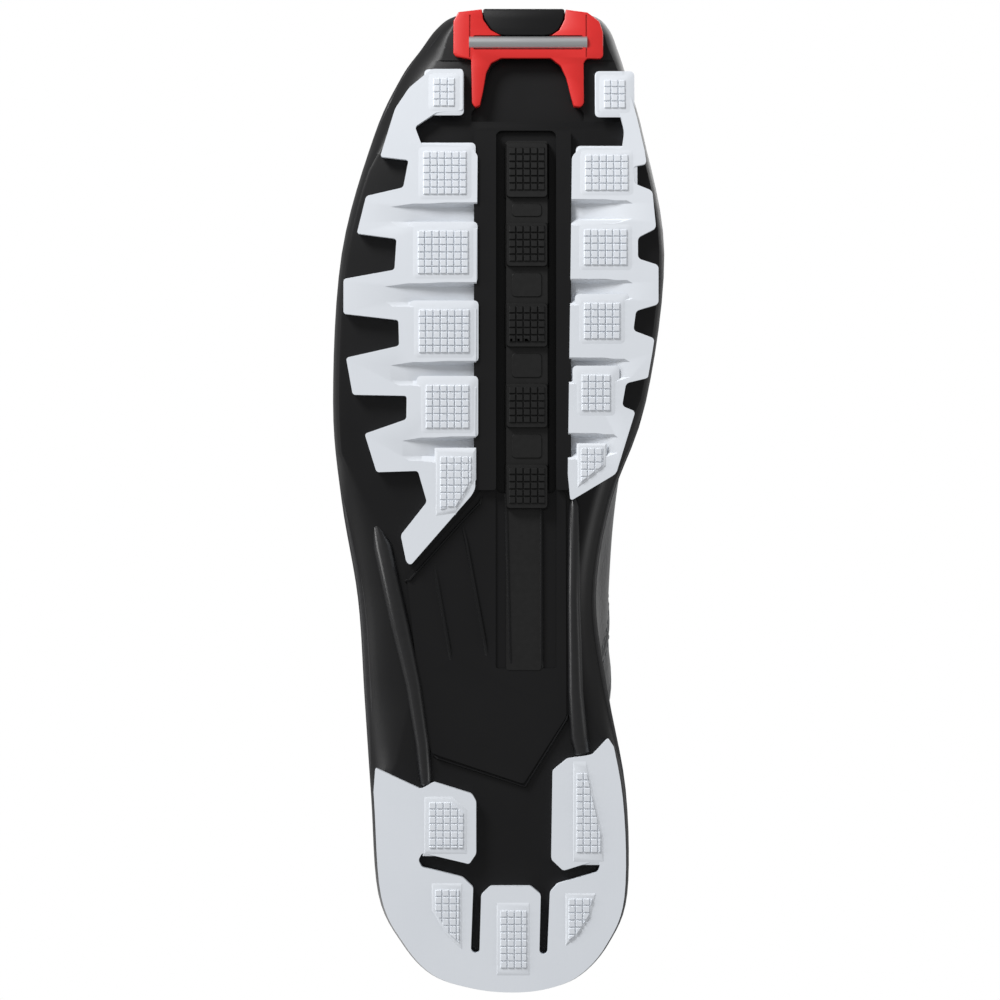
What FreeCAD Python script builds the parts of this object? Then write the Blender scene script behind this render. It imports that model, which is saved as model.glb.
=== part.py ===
# Cross-country ski boot, right foot, for a single-bar toe binding.
# Frame: +Z up, sole on z = 0, toe toward -Y, inner (medial) side toward +X, origin under the
# middle of the boot's outline. Millimetres.
import FreeCAD, Part
import Sketcher
import math
import os

Vector = FreeCAD.Vector
doc = FreeCAD.newDocument("cross_country_boot")

# ---- driving dimensions ------------------------------------------------------------------------
DIMENSIONS = [
    # whole boot
    ("boot_length", 300.0), ("ball_width", 101.0), ("boot_height", 150.0),
    # running surface: flat from the heel to the ball, then one large arc up to the toe
    ("ball_station", -50.0), ("toe_spring_radius", 450.0),
    # layers of the sole, each measured from the running surface
    ("tread_thickness", 4.0), ("plate_thickness", 5.0),
    ("midsole_ball", 5.0), ("midsole_heel", 15.0),
    ("board_thickness", 2.0), ("footbed_thickness", 4.0),
    # lengthwise guide in the sole
    ("guide_axis", 8.2), ("ridge_width", 13.0), ("groove_width", 2.6), ("groove_depth", 5.5),
    ("land_width", 5.0), ("ridge_relief", 0.5), ("lug_length", 14.0), ("lug_pitch", 24.2),
    # binding insert in the toe
    ("bar_diameter", 4.0), ("bar_span", 34.0), ("bar_setback", 11.0), ("bar_height", 3.6),
    ("block_width", 46.0), ("block_length", 30.0), ("block_height", 8.0),
    ("block_ear_length", 14.0), ("block_leg_width", 4.0), ("insert_axis", 8.8),
    # stiffening strip in the midsole
    ("shank_length", 135.0), ("shank_width", 22.0), ("shank_thickness", 1.2),
    # upper: wall of each layer
    ("overlay_thickness", 1.8), ("shell_thickness", 2.0), ("stiffener_thickness", 1.2),
    ("lining_thickness", 2.5), ("collar_pad_thickness", 6.0), ("tongue_thickness", 5.0),
    ("cover_thickness", 1.8), ("layer_gap", 0.5),
    # throat, eyestays and lace loops under the cover
    ("throat_width", 26.0), ("throat_start", -68.0), ("eyestay_width", 11.0),
    ("loop_count", 5.0), ("loop_width", 7.0), ("loop_wire", 1.4), ("loop_sink", 3.0),
    ("tongue_width", 54.0), ("tongue_rise", 9.0), ("cover_drop", 27.0), ("cover_start", -80.0),
    # zip on the cover
    ("zip_length", 74.0), ("zip_start", -56.0), ("tape_width", 6.0), ("tape_thickness", 0.8),
    ("tooth_width", 1.8), ("tooth_thickness", 1.5), ("zip_gap", 1.4),
    ("slider_width", 8.4), ("slider_length", 9.0), ("slider_plate", 1.0), ("zip_clearance", 0.3),
    ("stop_length", 2.4), ("bail_diameter", 1.4), ("puller_length", 30.0), ("puller_width", 6.0),
    ("puller_thickness", 1.8),
    # heel loop
    ("loop_strap", 1.8), ("heel_loop_width", 15.0), ("heel_loop_bore", 14.0),
]
sheet = doc.addObject("Spreadsheet::Sheet", "Dims")
for row_number, (alias, value) in enumerate(DIMENSIONS, start=1):
    sheet.set(f"A{row_number}", alias)
    sheet.set(f"B{row_number}", str(value))
    sheet.setAlias(f"B{row_number}", alias)
doc.recompute()
size = {alias: float(sheet.get(alias)) for alias, value in DIMENSIONS}

# The outline is drawn for a 300 x 101 x 150 boot and stretched to the sizes asked for.
LENGTH_SCALE = size["boot_length"] / 300.0
WIDTH_SCALE = size["ball_width"] / 101.0
HEIGHT_SCALE = size["boot_height"] / 150.0
TOE = -size["boot_length"] / 2
HEEL = size["boot_length"] / 2
FAR = 3 * size["boot_length"]

PLATE_LOW = size["tread_thickness"]
PLATE_TOP = PLATE_LOW + size["plate_thickness"]
SOLE_TOP_BALL = PLATE_TOP + size["midsole_ball"]
SOLE_TOP_HEEL = PLATE_TOP + size["midsole_heel"]

sub_parts = []


def keep(node):
    """Registers one sub-part of the boot."""
    sub_parts.append(node)
    return node


def solid_part(label, shape, placement=None):
    """A sub-part whose free-form shape is worked out from the sheet."""
    node = doc.addObject("Part::Feature", label)
    node.Label = label
    node.Shape = shape
    if placement is not None:
        node.Placement = placement
    return keep(node)


# ---- the sole's side profile -------------------------------------------------------------------
def arc_point(offset, station):
    """Point (y, z) of the toe-spring arc, `offset` above the running surface."""
    radius = size["toe_spring_radius"]
    run = station - size["ball_station"]
    reach = math.asin(run / radius)
    height = radius - (radius - offset) * math.cos(reach)
    return size["ball_station"] + (radius - offset) * math.sin(reach), height


def profile_edges(offset_front, offset_heel):
    """Open side-view line from past the toe to past the heel: arc, flat, ramp, flat."""
    ball = size["ball_station"]
    front = TOE - 30.0
    middle = (front + ball) / 2
    points = [Vector(0, *arc_point(offset_front, station)) for station in (front, middle)]
    points.append(Vector(0, ball, offset_front))
    edges = [Part.Arc(*points).toShape()]
    ramp_start = ball + 25.0 * LENGTH_SCALE
    ramp_end = ball + 95.0 * LENGTH_SCALE
    flat = [Vector(0, ball, offset_front), Vector(0, ramp_start, offset_front),
            Vector(0, ramp_end, offset_heel), Vector(0, HEEL + 30.0, offset_heel)]
    if offset_front == offset_heel:
        flat = [flat[0], flat[-1]]
    edges += [Part.makeLine(a, b) for a, b in zip(flat, flat[1:])]
    return edges


def slab(low, high):
    """Everything between two profile lines; each is one offset or a (ball, heel) pair."""
    low = low if isinstance(low, tuple) else (low, low)
    high = high if isinstance(high, tuple) else (high, high)
    under = profile_edges(*low)
    over = profile_edges(*high)
    ends = []
    for index in (0, -1):
        a = under[index].Vertexes[index].Point
        b = over[index].Vertexes[index].Point
        ends.append(Part.makeLine(a, b))
    wire = Part.Wire(Part.__sortEdges__(under + over + ends))
    face = Part.Face(wire)
    face.translate(Vector(-FAR / 2, 0, 0))
    return face.extrude(Vector(FAR, 0, 0))


def side_prism(points):
    """Side-view polygon of (y, z) points, run right across the boot."""
    corners = [Vector(-FAR / 2, y, z) for y, z in points]
    return Part.Face(Part.makePolygon(corners + corners[:1])).extrude(Vector(FAR, 0, 0))


def plan_prism(points):
    """Plan polygon of (x, y) points, run right up through the boot."""
    corners = [Vector(x, y, -FAR / 2) for x, y in points]
    return Part.Face(Part.makePolygon(corners + corners[:1])).extrude(Vector(0, 0, FAR))


def stretch(points):
    """Plan points drawn for the nominal boot, moved to the boot's own length and width."""
    return [(x * WIDTH_SCALE, y * LENGTH_SCALE) for x, y in points]


# ---- plan outline of the foot ------------------------------------------------------------------
# Station along the length (0 toe, 1 heel), outer side x, inner side x.
STATIONS = [
    (0.0008, -4.0, 19.5), (0.005, -13.8, 29.2), (0.018, -19.2, 33.7), (0.04, -24.0, 36.4),
    (0.07, -30.2, 39.2), (0.13, -38.3, 44.2),
    (0.25, -48.0, 50.4), (0.40, -50.6, 44.8), (0.50, -48.0, 34.0), (0.60, -43.0, 29.1),
    (0.70, -41.0, 33.0), (0.80, -39.0, 38.6), (0.90, -36.8, 39.1), (0.95, -29.6, 33.5),
    (0.982, -20.5, 25.0), (0.996, -8.0, 15.0),
]
TOE_TIP_X = 8.0
HEEL_TIP_X = 4.0


def closed_curve(points):
    curve = Part.BSplineCurve()
    curve.interpolate(points, PeriodicFlag=True)
    return Part.Wire([curve.toShape()])


def outline_points(front, back, half_of_leg, width_factor, oval):
    """Ring of points from `front` down the outer side to `back` and up the inner side."""
    span = back - front
    sides = ([], [])
    for station, x_outer, x_inner in STATIONS:
        ellipse = math.sqrt(1 - (2 * station - 1) ** 2) ** 0.9
        rim = [(x_outer * width_factor, ANKLE_AXIS - half_of_leg * ellipse),
               (x_inner * width_factor, ANKLE_AXIS + half_of_leg * ellipse)]
        for points, (foot, leg) in zip(sides, rim):
            centre = front + span * station
            points.append(Vector(((1 - oval) * foot + oval * leg) * WIDTH_SCALE,
                                 centre.y, centre.z))
    toe_x, heel_x = [((1 - oval) * tip * width_factor + oval * ANKLE_AXIS) * WIDTH_SCALE
                     for tip in (TOE_TIP_X, HEEL_TIP_X)]
    toe = Vector(toe_x, front.y, front.z)
    heel = Vector(heel_x, back.y, back.z)
    return [toe] + sides[0] + [heel] + sides[1][::-1]


ANKLE_AXIS = 1.0
ANKLE_HALF = 50.0


def outline_solid():
    points = outline_points(Vector(0, TOE, 0), Vector(0, HEEL, 0), ANKLE_HALF, 1.0, 0.0)
    face = Part.Face(closed_curve(points))
    face.translate(Vector(0, 0, -FAR / 2))
    return face.extrude(Vector(0, 0, FAR))


# ---- sole: treads ------------------------------------------------------------------------------
def notches(first, pitch, count, edge_x, depth, mouth, root):
    """Tapered cuts into a tread's edge, evenly spaced along the sole."""
    cuts = []
    side = 1 if edge_x > 0 else -1
    for index in range(count):
        centre = first + index * pitch
        outer = edge_x + side * 12.0
        inner = edge_x - side * depth[index]
        cuts.append(plan_prism(stretch([
            (outer, centre - mouth), (inner, centre - root),
            (inner, centre + root), (outer, centre + mouth)])))
    return cuts


def tread(label, points, cuts):
    body = plan_prism(stretch(points)).common(slab(0.0, PLATE_LOW))
    for cut in cuts:
        body = body.cut(cut)
    return solid_part(label, body)


tread("tread_lateral", [
    (-20.5, -131.0), (-11.0, -131.0), (-11.0, -118.0), (-25.5, -113.0), (-23.5, -107.8),
    (-8.8, -107.8), (-6.4, -104.5), (-7.2, -3.5), (-26.7, 19.7), (-28.0, 18.8), (-29.7, 10.6),
    (-21.8, 0.6), (-24.5, -8.8), (-37.3, -8.8), (-43.9, -31.5), (-47.0, -56.0), (-43.0, -81.0),
    (-36.0, -104.5), (-27.3, -125.0)],
    notches(-98.0, 24.2, 4, -44.0, [16.5, 13.5, 14.0, 16.0], 8.0, 5.0))
tread("tread_medial", [
    (29.4, -130.3), (38.5, -130.3), (43.0, -113.6), (46.4, -94.0), (48.2, -75.0), (48.2, -59.0),
    (45.2, -37.0), (35.2, -8.0), (33.3, -6.7), (21.5, 0.0), (20.9, -7.6), (22.1, -104.2),
    (24.8, -106.7), (37.3, -106.7), (37.9, -111.8), (36.7, -117.3), (29.4, -117.3)],
    notches(-98.0, 22.0, 4, 47.0, [5.0, 4.5, 6.0, 8.5], 6.5, 4.0))

heel_slots = [
    [(-24.2, 107.0), (-10.9, 109.8), (-6.2, 115.0), (-6.2, 136.5), (-8.0, 136.5), (-9.6, 117.5),
     (-12.2, 113.4), (-24.2, 110.6)],
    [(29.7, 108.6), (18.8, 110.4), (12.6, 115.4), (12.4, 136.8), (14.4, 136.8), (15.6, 118.0),
     (18.0, 114.2), (30.0, 112.4)]]
tread("tread_heel", [
    (-37.3, 81.5), (-22.7, 87.3), (-19.7, 85.2), (-8.8, 88.8), (-7.0, 91.0), (-7.0, 116.7),
    (15.4, 116.7), (16.1, 81.5), (20.6, 78.2), (28.2, 77.3), (33.0, 72.1), (37.9, 89.4),
    (39.2, 103.3), (38.2, 119.0), (33.0, 132.0), (25.0, 141.0), (15.0, 146.6), (4.0, 148.6),
    (-8.0, 146.2), (-18.0, 141.6), (-27.0, 135.4), (-33.3, 128.0), (-36.7, 109.7)],
    [plan_prism(stretch(points)) for points in heel_slots])

# ---- sole: toe insert and its bar --------------------------------------------------------------
# The insert is a red U: two wide ears at the front, two legs behind them, the bar across.
AXIS = size["insert_axis"] * WIDTH_SCALE
BLOCK_FRONT = TOE + 2.0
BLOCK_BACK = BLOCK_FRONT + size["block_length"]
HALF_BLOCK = size["block_width"] / 2
HALF_BAR = size["bar_span"] / 2
BAR_Y = TOE + size["bar_setback"]
BAR_Z = arc_point(size["bar_height"], BAR_Y)[1]
EAR_BACK = BLOCK_FRONT + size["block_ear_length"]
BLOCK_LOW = 0.3
LEG_HALF = HALF_BAR + size["block_leg_width"] / 2

block_plan = [
    (AXIS - HALF_BLOCK, BLOCK_FRONT), (AXIS + HALF_BLOCK, BLOCK_FRONT),
    (AXIS + HALF_BLOCK, EAR_BACK), (AXIS + LEG_HALF, EAR_BACK + 2.0),
    (AXIS + LEG_HALF, BLOCK_BACK), (AXIS - LEG_HALF, BLOCK_BACK),
    (AXIS - LEG_HALF, EAR_BACK + 2.0), (AXIS - HALF_BLOCK, EAR_BACK)]
block_envelope = plan_prism(block_plan).common(slab(BLOCK_LOW, size["block_height"]))
LIP_BACK = BAR_Y - size["bar_diameter"] / 2 - 0.8
NECK_HALF = HALF_BAR - 3.5
bar_recess = plan_prism([
    (AXIS - NECK_HALF, TOE - 20), (AXIS + NECK_HALF, TOE - 20), (AXIS + NECK_HALF, LIP_BACK),
    (AXIS + HALF_BAR - 1.0, LIP_BACK), (AXIS + HALF_BAR - 1.0, BAR_Y + 6.0),
    (AXIS + HALF_BAR - 2.5, BLOCK_BACK + 20), (AXIS - HALF_BAR + 2.5, BLOCK_BACK + 20),
    (AXIS - HALF_BAR + 1.0, BAR_Y + 6.0), (AXIS - HALF_BAR + 1.0, LIP_BACK),
    (AXIS - NECK_HALF, LIP_BACK)])
bar_bore = Part.makeCylinder(size["bar_diameter"] / 2, size["bar_span"] + 4.0,
                             Vector(AXIS - HALF_BAR - 2.0, BAR_Y, BAR_Z), Vector(1, 0, 0))
RECESS_DEPTH = size["block_height"] - 1.5
deep_recess = bar_recess.common(slab(-1.0, RECESS_DEPTH))
solid_part("toe_block", block_envelope.cut(deep_recess).cut(bar_bore))

bar = keep(doc.addObject("Part::Cylinder", "binding_bar"))
bar.Label = "binding_bar"
bar.setExpression("Radius", "Dims.bar_diameter / 2")
bar.setExpression("Height", "Dims.bar_span + 4")
bar.Placement = FreeCAD.Placement(Vector(AXIS - HALF_BAR - 2.0, BAR_Y, BAR_Z),
                                  FreeCAD.Rotation(Vector(0, 1, 0), 90))

# ---- sole: plate with its guide grooves, ridge and waist rails -----------------------------------
GUIDE = size["guide_axis"] * WIDTH_SCALE
RIDGE_HALF = size["ridge_width"] / 2
GROOVE_OUT = RIDGE_HALF + size["groove_width"]
LAND_OUT = GROOVE_OUT + size["land_width"]
GUIDE_START = TOE + 38.0
RIDGE_START = GUIDE_START + 4.0
RIDGE_END = RIDGE_START + 154.0 * LENGTH_SCALE
LAND_END = RIDGE_START + 105.0 * LENGTH_SCALE


def plan_box(x_low, x_high, y_low, y_high):
    return plan_prism([(x_low, y_low), (x_high, y_low), (x_high, y_high), (x_low, y_high)])


plate = outline_solid().common(slab(PLATE_LOW, PLATE_TOP))
front_lip = plan_box(AXIS - NECK_HALF + 0.5, AXIS + NECK_HALF - 0.5, TOE, LIP_BACK)
plate = plate.fuse(front_lip.common(outline_solid()).common(slab(1.0, PLATE_TOP)))
lands = [plan_box(GUIDE - LAND_OUT, GUIDE - GROOVE_OUT, GUIDE_START, LAND_END),
         plan_box(GUIDE + GROOVE_OUT, GUIDE + LAND_OUT, GUIDE_START, LAND_END)]
rails = [
    plan_prism(stretch([(-31.8, 13.0), (-27.6, 22.0), (-24.0, 60.0), (-22.7, 84.0),
                        (-26.0, 80.0), (-31.0, 40.0)])),
    plan_prism(stretch([(21.5, 3.0), (25.5, 3.0), (24.8, 40.0), (26.0, 70.0), (24.0, 76.0),
                        (21.0, 70.0), (20.8, 30.0)]))]
tread_nodes = [node for node in sub_parts if node.Label.startswith("tread_")]
for raised in lands + rails:
    raised = raised.common(slab(1.2, PLATE_LOW))
    for node in tread_nodes:
        raised = raised.cut(node.Shape)
    plate = plate.fuse(raised)
grooves = plan_box(GUIDE - GROOVE_OUT, GUIDE + GROOVE_OUT, GUIDE_START, LAND_END)
ridge_seat = plan_box(GUIDE - RIDGE_HALF, GUIDE + RIDGE_HALF, RIDGE_START, RIDGE_END)
plate = plate.cut(grooves.cut(ridge_seat).common(slab(-1.0, size["groove_depth"])))
plate = plate.cut(block_envelope)
plate = plate.cut(deep_recess.common(
    plan_box(AXIS - HALF_BAR, AXIS + HALF_BAR, LIP_BACK, BLOCK_BACK + 6.0)))
plate = plate.removeSplitter()

ridge_low = size["ridge_relief"]
ridge = ridge_seat.common(slab(ridge_low + 1.5, PLATE_LOW))
for index in range(5):
    lug_start = RIDGE_START + (1.0 + index * size["lug_pitch"]) * LENGTH_SCALE
    lug = plan_box(GUIDE - RIDGE_HALF, GUIDE + RIDGE_HALF, lug_start, lug_start + size["lug_length"])
    ridge = ridge.fuse(lug.common(slab(ridge_low, PLATE_LOW)))
solid_part("centre_ridge", ridge.removeSplitter())

# ---- the upper's surfaces ----------------------------------------------------------------------
# Each row is a slanted ring around the foot: front point (y, z), back point (y, z), width factor,
# and how far the ring has changed from the sole's outline into an oval.
RINGS = [
    (-147.0, 4.0, 147.0, 4.0, 0.95, 0.0),
    (-147.4, 27.0, 148.0, 38.0, 0.955, 0.0),
    (-142.0, 43.5, 147.0, 60.0, 0.92, 0.10),
    (-121.0, 56.0, 144.0, 80.0, 0.86, 0.28),
    (-92.0, 66.5, 139.5, 98.0, 0.80, 0.50),
    (-62.0, 81.0, 136.5, 114.0, 0.76, 0.75),
    (-23.5, 109.0, 134.5, 133.0, 0.74, 1.0),
    (15.0, 137.0, 135.0, 152.0, 0.77, 1.0),
    (34.0, 158.0, 136.0, 170.0, 0.79, 1.0),
]
LAST_RING = len(RINGS) - 1
COLLAR_RING = 7
HIGH_RING = 4


def ring_point(index, column):
    row = RINGS[index]
    return Vector(0, row[column] * LENGTH_SCALE, row[column + 1] * HEIGHT_SCALE)


def ring_base(index):
    width_factor, oval = RINGS[index][4:]
    return outline_points(ring_point(index, 0), ring_point(index, 2),
                          ANKLE_HALF * width_factor, width_factor, oval)


def ring_wire(index, depth, flat):
    """Ring `index`, moved `depth` into the boot; a `flat` ring stays in its own plane."""
    here = ring_base(index)
    under = ring_base(max(index - 1, 0))
    over = ring_base(min(index + 1, LAST_RING))
    plane = Vector(1, 0, 0).cross(ring_point(index, 2) - ring_point(index, 0)).normalize()
    moved = []
    for place, point in enumerate(here):
        around = here[(place + 1) % len(here)] - here[place - 1]
        move = around.cross(over[place] - under[place]).normalize()
        if flat:
            move = (move - plane * move.dot(plane)).normalize()
        moved.append(point + move * depth)
    return closed_curve(moved)


surface_cache = {}


def upper_solid(depth, first=0):
    """The foot-and-ankle volume inside one layer of the upper, from ring `first` up."""
    if (depth, first) not in surface_cache:
        rings = [ring_wire(index, depth, index in (first, LAST_RING))
                 for index in range(first, len(RINGS))]
        surface_cache[depth, first] = Part.makeLoft(rings, True, False)
    return surface_cache[depth, first]


def layer(outer_depth, inner_depth, *zones, first=0):
    """One layer of the upper, within every one of `zones`."""
    body = upper_solid(outer_depth)
    for zone in zones:
        body = body.common(zone)
    return body.cut(upper_solid(inner_depth, first))


SHELL_IN = size["shell_thickness"]
STIFF_IN = SHELL_IN + size["stiffener_thickness"]
LINING_IN = SHELL_IN + size["lining_thickness"]
TONGUE_OUT = LINING_IN + size["layer_gap"]
TONGUE_IN = TONGUE_OUT + size["tongue_thickness"]
PAD_IN = SHELL_IN + size["collar_pad_thickness"]
OVERLAY = -size["overlay_thickness"]
COVER_OUT = OVERLAY - size["cover_thickness"]

above_sole = slab((SOLE_TOP_BALL, SOLE_TOP_HEEL), (FAR, FAR + 1))
above_plate = slab(PLATE_TOP, FAR)


def collar_line(rise):
    """The opening's rim in side view, raised by `rise`."""
    front = ring_point(COLLAR_RING, 0)
    back = ring_point(COLLAR_RING, 2)
    slope = (back.z - front.z) / (back.y - front.y)
    ends = [(y, front.z + rise + slope * (y - front.y)) for y in (-FAR, FAR)]
    return ends


def below_collar(rise):
    (y_low, z_low), (y_high, z_high) = collar_line(rise)
    return side_prism([(y_low, z_low), (y_high, z_high), (FAR, -2 * FAR), (-FAR, -2 * FAR)])


# ---- sole: what lies between plate and foot ----------------------------------------------------
def find_plane(body, role):
    return next(item for item in body.Origin.OriginFeatures if item.Role == role)


shank = keep(doc.addObject("PartDesign::Body", "shank"))
shank.Label = "shank"
strip = shank.newObject("Sketcher::SketchObject", "shank_outline")
strip.AttachmentSupport = (find_plane(shank, "XY_Plane"), [""])
strip.MapMode = "FlatFace"
half_width = size["shank_width"] / 2
half_length = size["shank_length"] / 2
corners = [Vector(-half_width, -half_length, 0), Vector(half_width, -half_length, 0),
           Vector(half_width, half_length, 0), Vector(-half_width, half_length, 0)]
for start, end in zip(corners, corners[1:] + corners[:1]):
    strip.addGeometry(Part.LineSegment(start, end), False)
for index in range(4):
    strip.addConstraint(Sketcher.Constraint("Coincident", index, 2, (index + 1) % 4, 1))
for index in (0, 2):
    strip.addConstraint(Sketcher.Constraint("Horizontal", index))
    strip.addConstraint(Sketcher.Constraint("Vertical", index + 1))
strip.addConstraint(Sketcher.Constraint("Symmetric", 0, 1, 2, 1, -1, 1))
width_rule = strip.addConstraint(Sketcher.Constraint("DistanceX", 0, 1, 0, 2, 2 * half_width))
length_rule = strip.addConstraint(Sketcher.Constraint("DistanceY", 1, 1, 1, 2, 2 * half_length))
strip.setExpression(f"Constraints[{width_rule}]", "Dims.shank_width")
strip.setExpression(f"Constraints[{length_rule}]", "Dims.shank_length")
strip_pad = shank.newObject("PartDesign::Pad", "shank_pad")
strip_pad.Profile = strip
strip_pad.setExpression("Length", "Dims.shank_thickness")
doc.recompute()
corner_round = shank.newObject("PartDesign::Fillet", "shank_corners")
upright = [f"Edge{n}" for n, edge in enumerate(strip_pad.Shape.Edges, start=1)
           if abs(edge.Vertexes[0].Z - edge.Vertexes[-1].Z) > size["shank_thickness"] / 2]
corner_round.Base = (strip_pad, upright)
corner_round.setExpression("Radius", "Dims.shank_width / 4")
SHANK_CENTRE = size["ball_station"] + 15.0 + half_length
shank.Placement = FreeCAD.Placement(Vector(-4.0, SHANK_CENTRE, PLATE_TOP), FreeCAD.Rotation())
doc.recompute()

solid_part("sole_plate", plate)
SOLE_TOP = (SOLE_TOP_BALL, SOLE_TOP_HEEL)
BOARD_TOP = tuple(offset + size["board_thickness"] for offset in SOLE_TOP)
FOOTBED_TOP = tuple(offset + size["footbed_thickness"] for offset in BOARD_TOP)
midsole = upper_solid(0.0).common(slab(PLATE_TOP, SOLE_TOP)).cut(shank.Shape)
solid_part("midsole", midsole)
solid_part("insole_board", upper_solid(LINING_IN).common(slab(SOLE_TOP, BOARD_TOP)))
solid_part("footbed", upper_solid(TONGUE_OUT).common(slab(BOARD_TOP, FOOTBED_TOP)))

# ---- upper: regions in side and plan view ------------------------------------------------------
RAND_LINE = [(TOE - 5, 35.0), (TOE + 40, 31.0), (TOE + 110, 27.0), (TOE + 190, 30.0),
             (HEEL - 45, 35.0), (HEEL + 5, 39.0)]
RAND_LINE = [(y, z * HEIGHT_SCALE) for y, z in RAND_LINE]


def below_line(points):
    return side_prism(points + [(FAR, points[-1][1]), (FAR, -FAR), (-FAR, -FAR),
                                (-FAR, points[0][1])])


def instep_window(width, start, drop):
    """Over the instep: a plan strip `width` wide from `start` back, and not lower than `drop`
    under the instep's ridge."""
    half = width / 2
    ridge_line = [ring_point(index, 0) for index in range(2, len(RINGS))]
    edge = [(point.y, point.z - drop) for point in ridge_line]
    edge.append((edge[-1][0] + FAR, edge[-1][1] + FAR))
    band = side_prism(edge + [(edge[-1][0], edge[-1][1] + FAR), (edge[0][0], FAR)])
    strip_box = plan_box(ANKLE_AXIS - half, ANKLE_AXIS + half, start * LENGTH_SCALE, FAR)
    return strip_box.common(band)


below_rand = below_line(RAND_LINE)
THROAT_DROP = 24.0
TONGUE_DROP = 32.0
throat = instep_window(size["throat_width"], size["throat_start"], THROAT_DROP)
tongue_window = instep_window(size["tongue_width"], size["throat_start"] - 4.0, TONGUE_DROP)
pad_window = instep_window(size["tongue_width"] + 2.0, size["throat_start"], 2 * TONGUE_DROP)
toe_zone = side_prism([(TOE - 20, 0), (TOE + 58, 0), (TOE + 46, FAR), (TOE - 20, FAR)])
puff_zone = side_prism([(TOE - 20, 0), (TOE + 52, 0), (TOE + 52, FAR), (TOE - 20, FAR)])
heel_height = 88.0 * HEIGHT_SCALE
heel_zone = side_prism([(HEEL - 78, 0), (HEEL - 42, heel_height), (HEEL + 20, heel_height + 14),
                        (HEEL + 20, 0)])
stiff_zone = side_prism([(HEEL - 84, 0), (HEEL - 62, heel_height - 14),
                         (HEEL + 20, heel_height - 4), (HEEL + 20, 0)])
PAD_DEPTH = 36.0 * HEIGHT_SCALE
pad_zone = below_collar(0.0).cut(below_collar(-PAD_DEPTH))

above_rand = above_plate.cut(below_rand)
below_rim = below_collar(0.0)
high_front = ring_point(HIGH_RING, 0)
high_run = (ring_point(HIGH_RING, 2) - high_front) * 3
above_high_ring = side_prism([
    (high_front.y - high_run.y, high_front.z - high_run.z),
    (high_front.y + high_run.y, high_front.z + high_run.z),
    (high_front.y + high_run.y, FAR), (high_front.y - high_run.y, FAR)])

solid_part("rand", layer(OVERLAY, 0.0, above_plate, below_rand))
solid_part("toe_cap", layer(OVERLAY, 0.0, above_rand, toe_zone))
solid_part("heel_cap", layer(OVERLAY, 0.0, above_rand, heel_zone))
solid_part("upper_shell", layer(0.0, SHELL_IN, above_sole, below_rim).cut(throat))

puff = layer(SHELL_IN, STIFF_IN, above_sole, puff_zone)
solid_part("toe_puff", puff)
counter = layer(SHELL_IN, STIFF_IN, above_sole, stiff_zone)
solid_part("heel_stiffener", counter)
collar_pad = layer(SHELL_IN, PAD_IN, pad_zone.cut(pad_window), first=HIGH_RING)
solid_part("collar_pad", collar_pad)
lining = layer(SHELL_IN, LINING_IN, above_sole, below_rim)
for taken in (throat, puff, counter, collar_pad):
    lining = lining.cut(taken)
solid_part("lining", lining)

tongue_zone = tongue_window.common(below_collar(size["tongue_rise"])).common(above_high_ring)
solid_part("tongue", layer(TONGUE_OUT, TONGUE_IN, tongue_zone, first=HIGH_RING))

# ---- eyestays, cover and zip on the instep -----------------------------------------------------
THROAT_HALF = size["throat_width"] / 2
STAY_OUT = THROAT_HALF + size["eyestay_width"]
below_cover_rim = below_collar(-1.0)
stay_window = instep_window(2 * STAY_OUT, size["throat_start"] - 2.0, THROAT_DROP)
stay_zone = stay_window.common(below_cover_rim)
for side, name in ((-1, "lateral"), (1, "medial")):
    x_pair = sorted((ANKLE_AXIS + side * THROAT_HALF, ANKLE_AXIS + side * FAR))
    half_zone = stay_zone.common(plan_box(*x_pair, TOE, HEEL))
    solid_part(f"eyestay_{name}", layer(OVERLAY, 0.0, half_zone))

cover_window = instep_window(FAR, size["cover_start"], size["cover_drop"])
cover_zone = cover_window.common(below_cover_rim)
cover_edge = layer(OVERLAY, 0.0, cover_zone.cut(stay_zone))
cover = layer(COVER_OUT, OVERLAY, cover_zone).fuse(cover_edge)

# The zip runs along a straight line up the instep. Its own frame: Y up the line, Z outward.
line_start = ring_point(5, 0)
line_run = ring_point(COLLAR_RING, 0) - line_start
ZIP_TILT = math.degrees(math.atan2(line_run.z, line_run.y))
zip_origin = line_start + line_run * (
    (size["zip_start"] * LENGTH_SCALE - line_start.y) / line_run.y)
zip_origin.x = ANKLE_AXIS
zip_frame = FreeCAD.Placement(zip_origin, FreeCAD.Rotation(Vector(1, 0, 0), ZIP_TILT))

GAP_HALF = size["zip_gap"] / 2
TAPE_LOW = size["overlay_thickness"] + 0.6
TAPE_TOP = TAPE_LOW + size["tape_thickness"]
TAPE_OUT = GAP_HALF + size["tape_width"]
TOOTH_OUT = GAP_HALF + size["tooth_width"]
TOOTH_TOP = TAPE_TOP + size["tooth_thickness"]
TAPE_SPARE = 3.0
channel = Part.makeBox(2 * TAPE_OUT, size["zip_length"] + 2 * TAPE_SPARE, 60.0,
                       Vector(-TAPE_OUT, -TAPE_SPARE, -30.0))
channel.Placement = zip_frame
solid_part("lace_cover", cover.cut(channel))


def zip_box(label, x_low, x_rule, y_low, y_rule, z_low, z_rule):
    """A box in the zip's frame; each rule is the expression for that edge length."""
    box = doc.addObject("Part::Box", label)
    box.Label = label
    for edge, rule in (("Length", x_rule), ("Width", y_rule), ("Height", z_rule)):
        box.setExpression(edge, rule)
    box.Placement = zip_frame.multiply(
        FreeCAD.Placement(Vector(x_low, y_low, z_low), FreeCAD.Rotation()))
    return box


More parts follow.
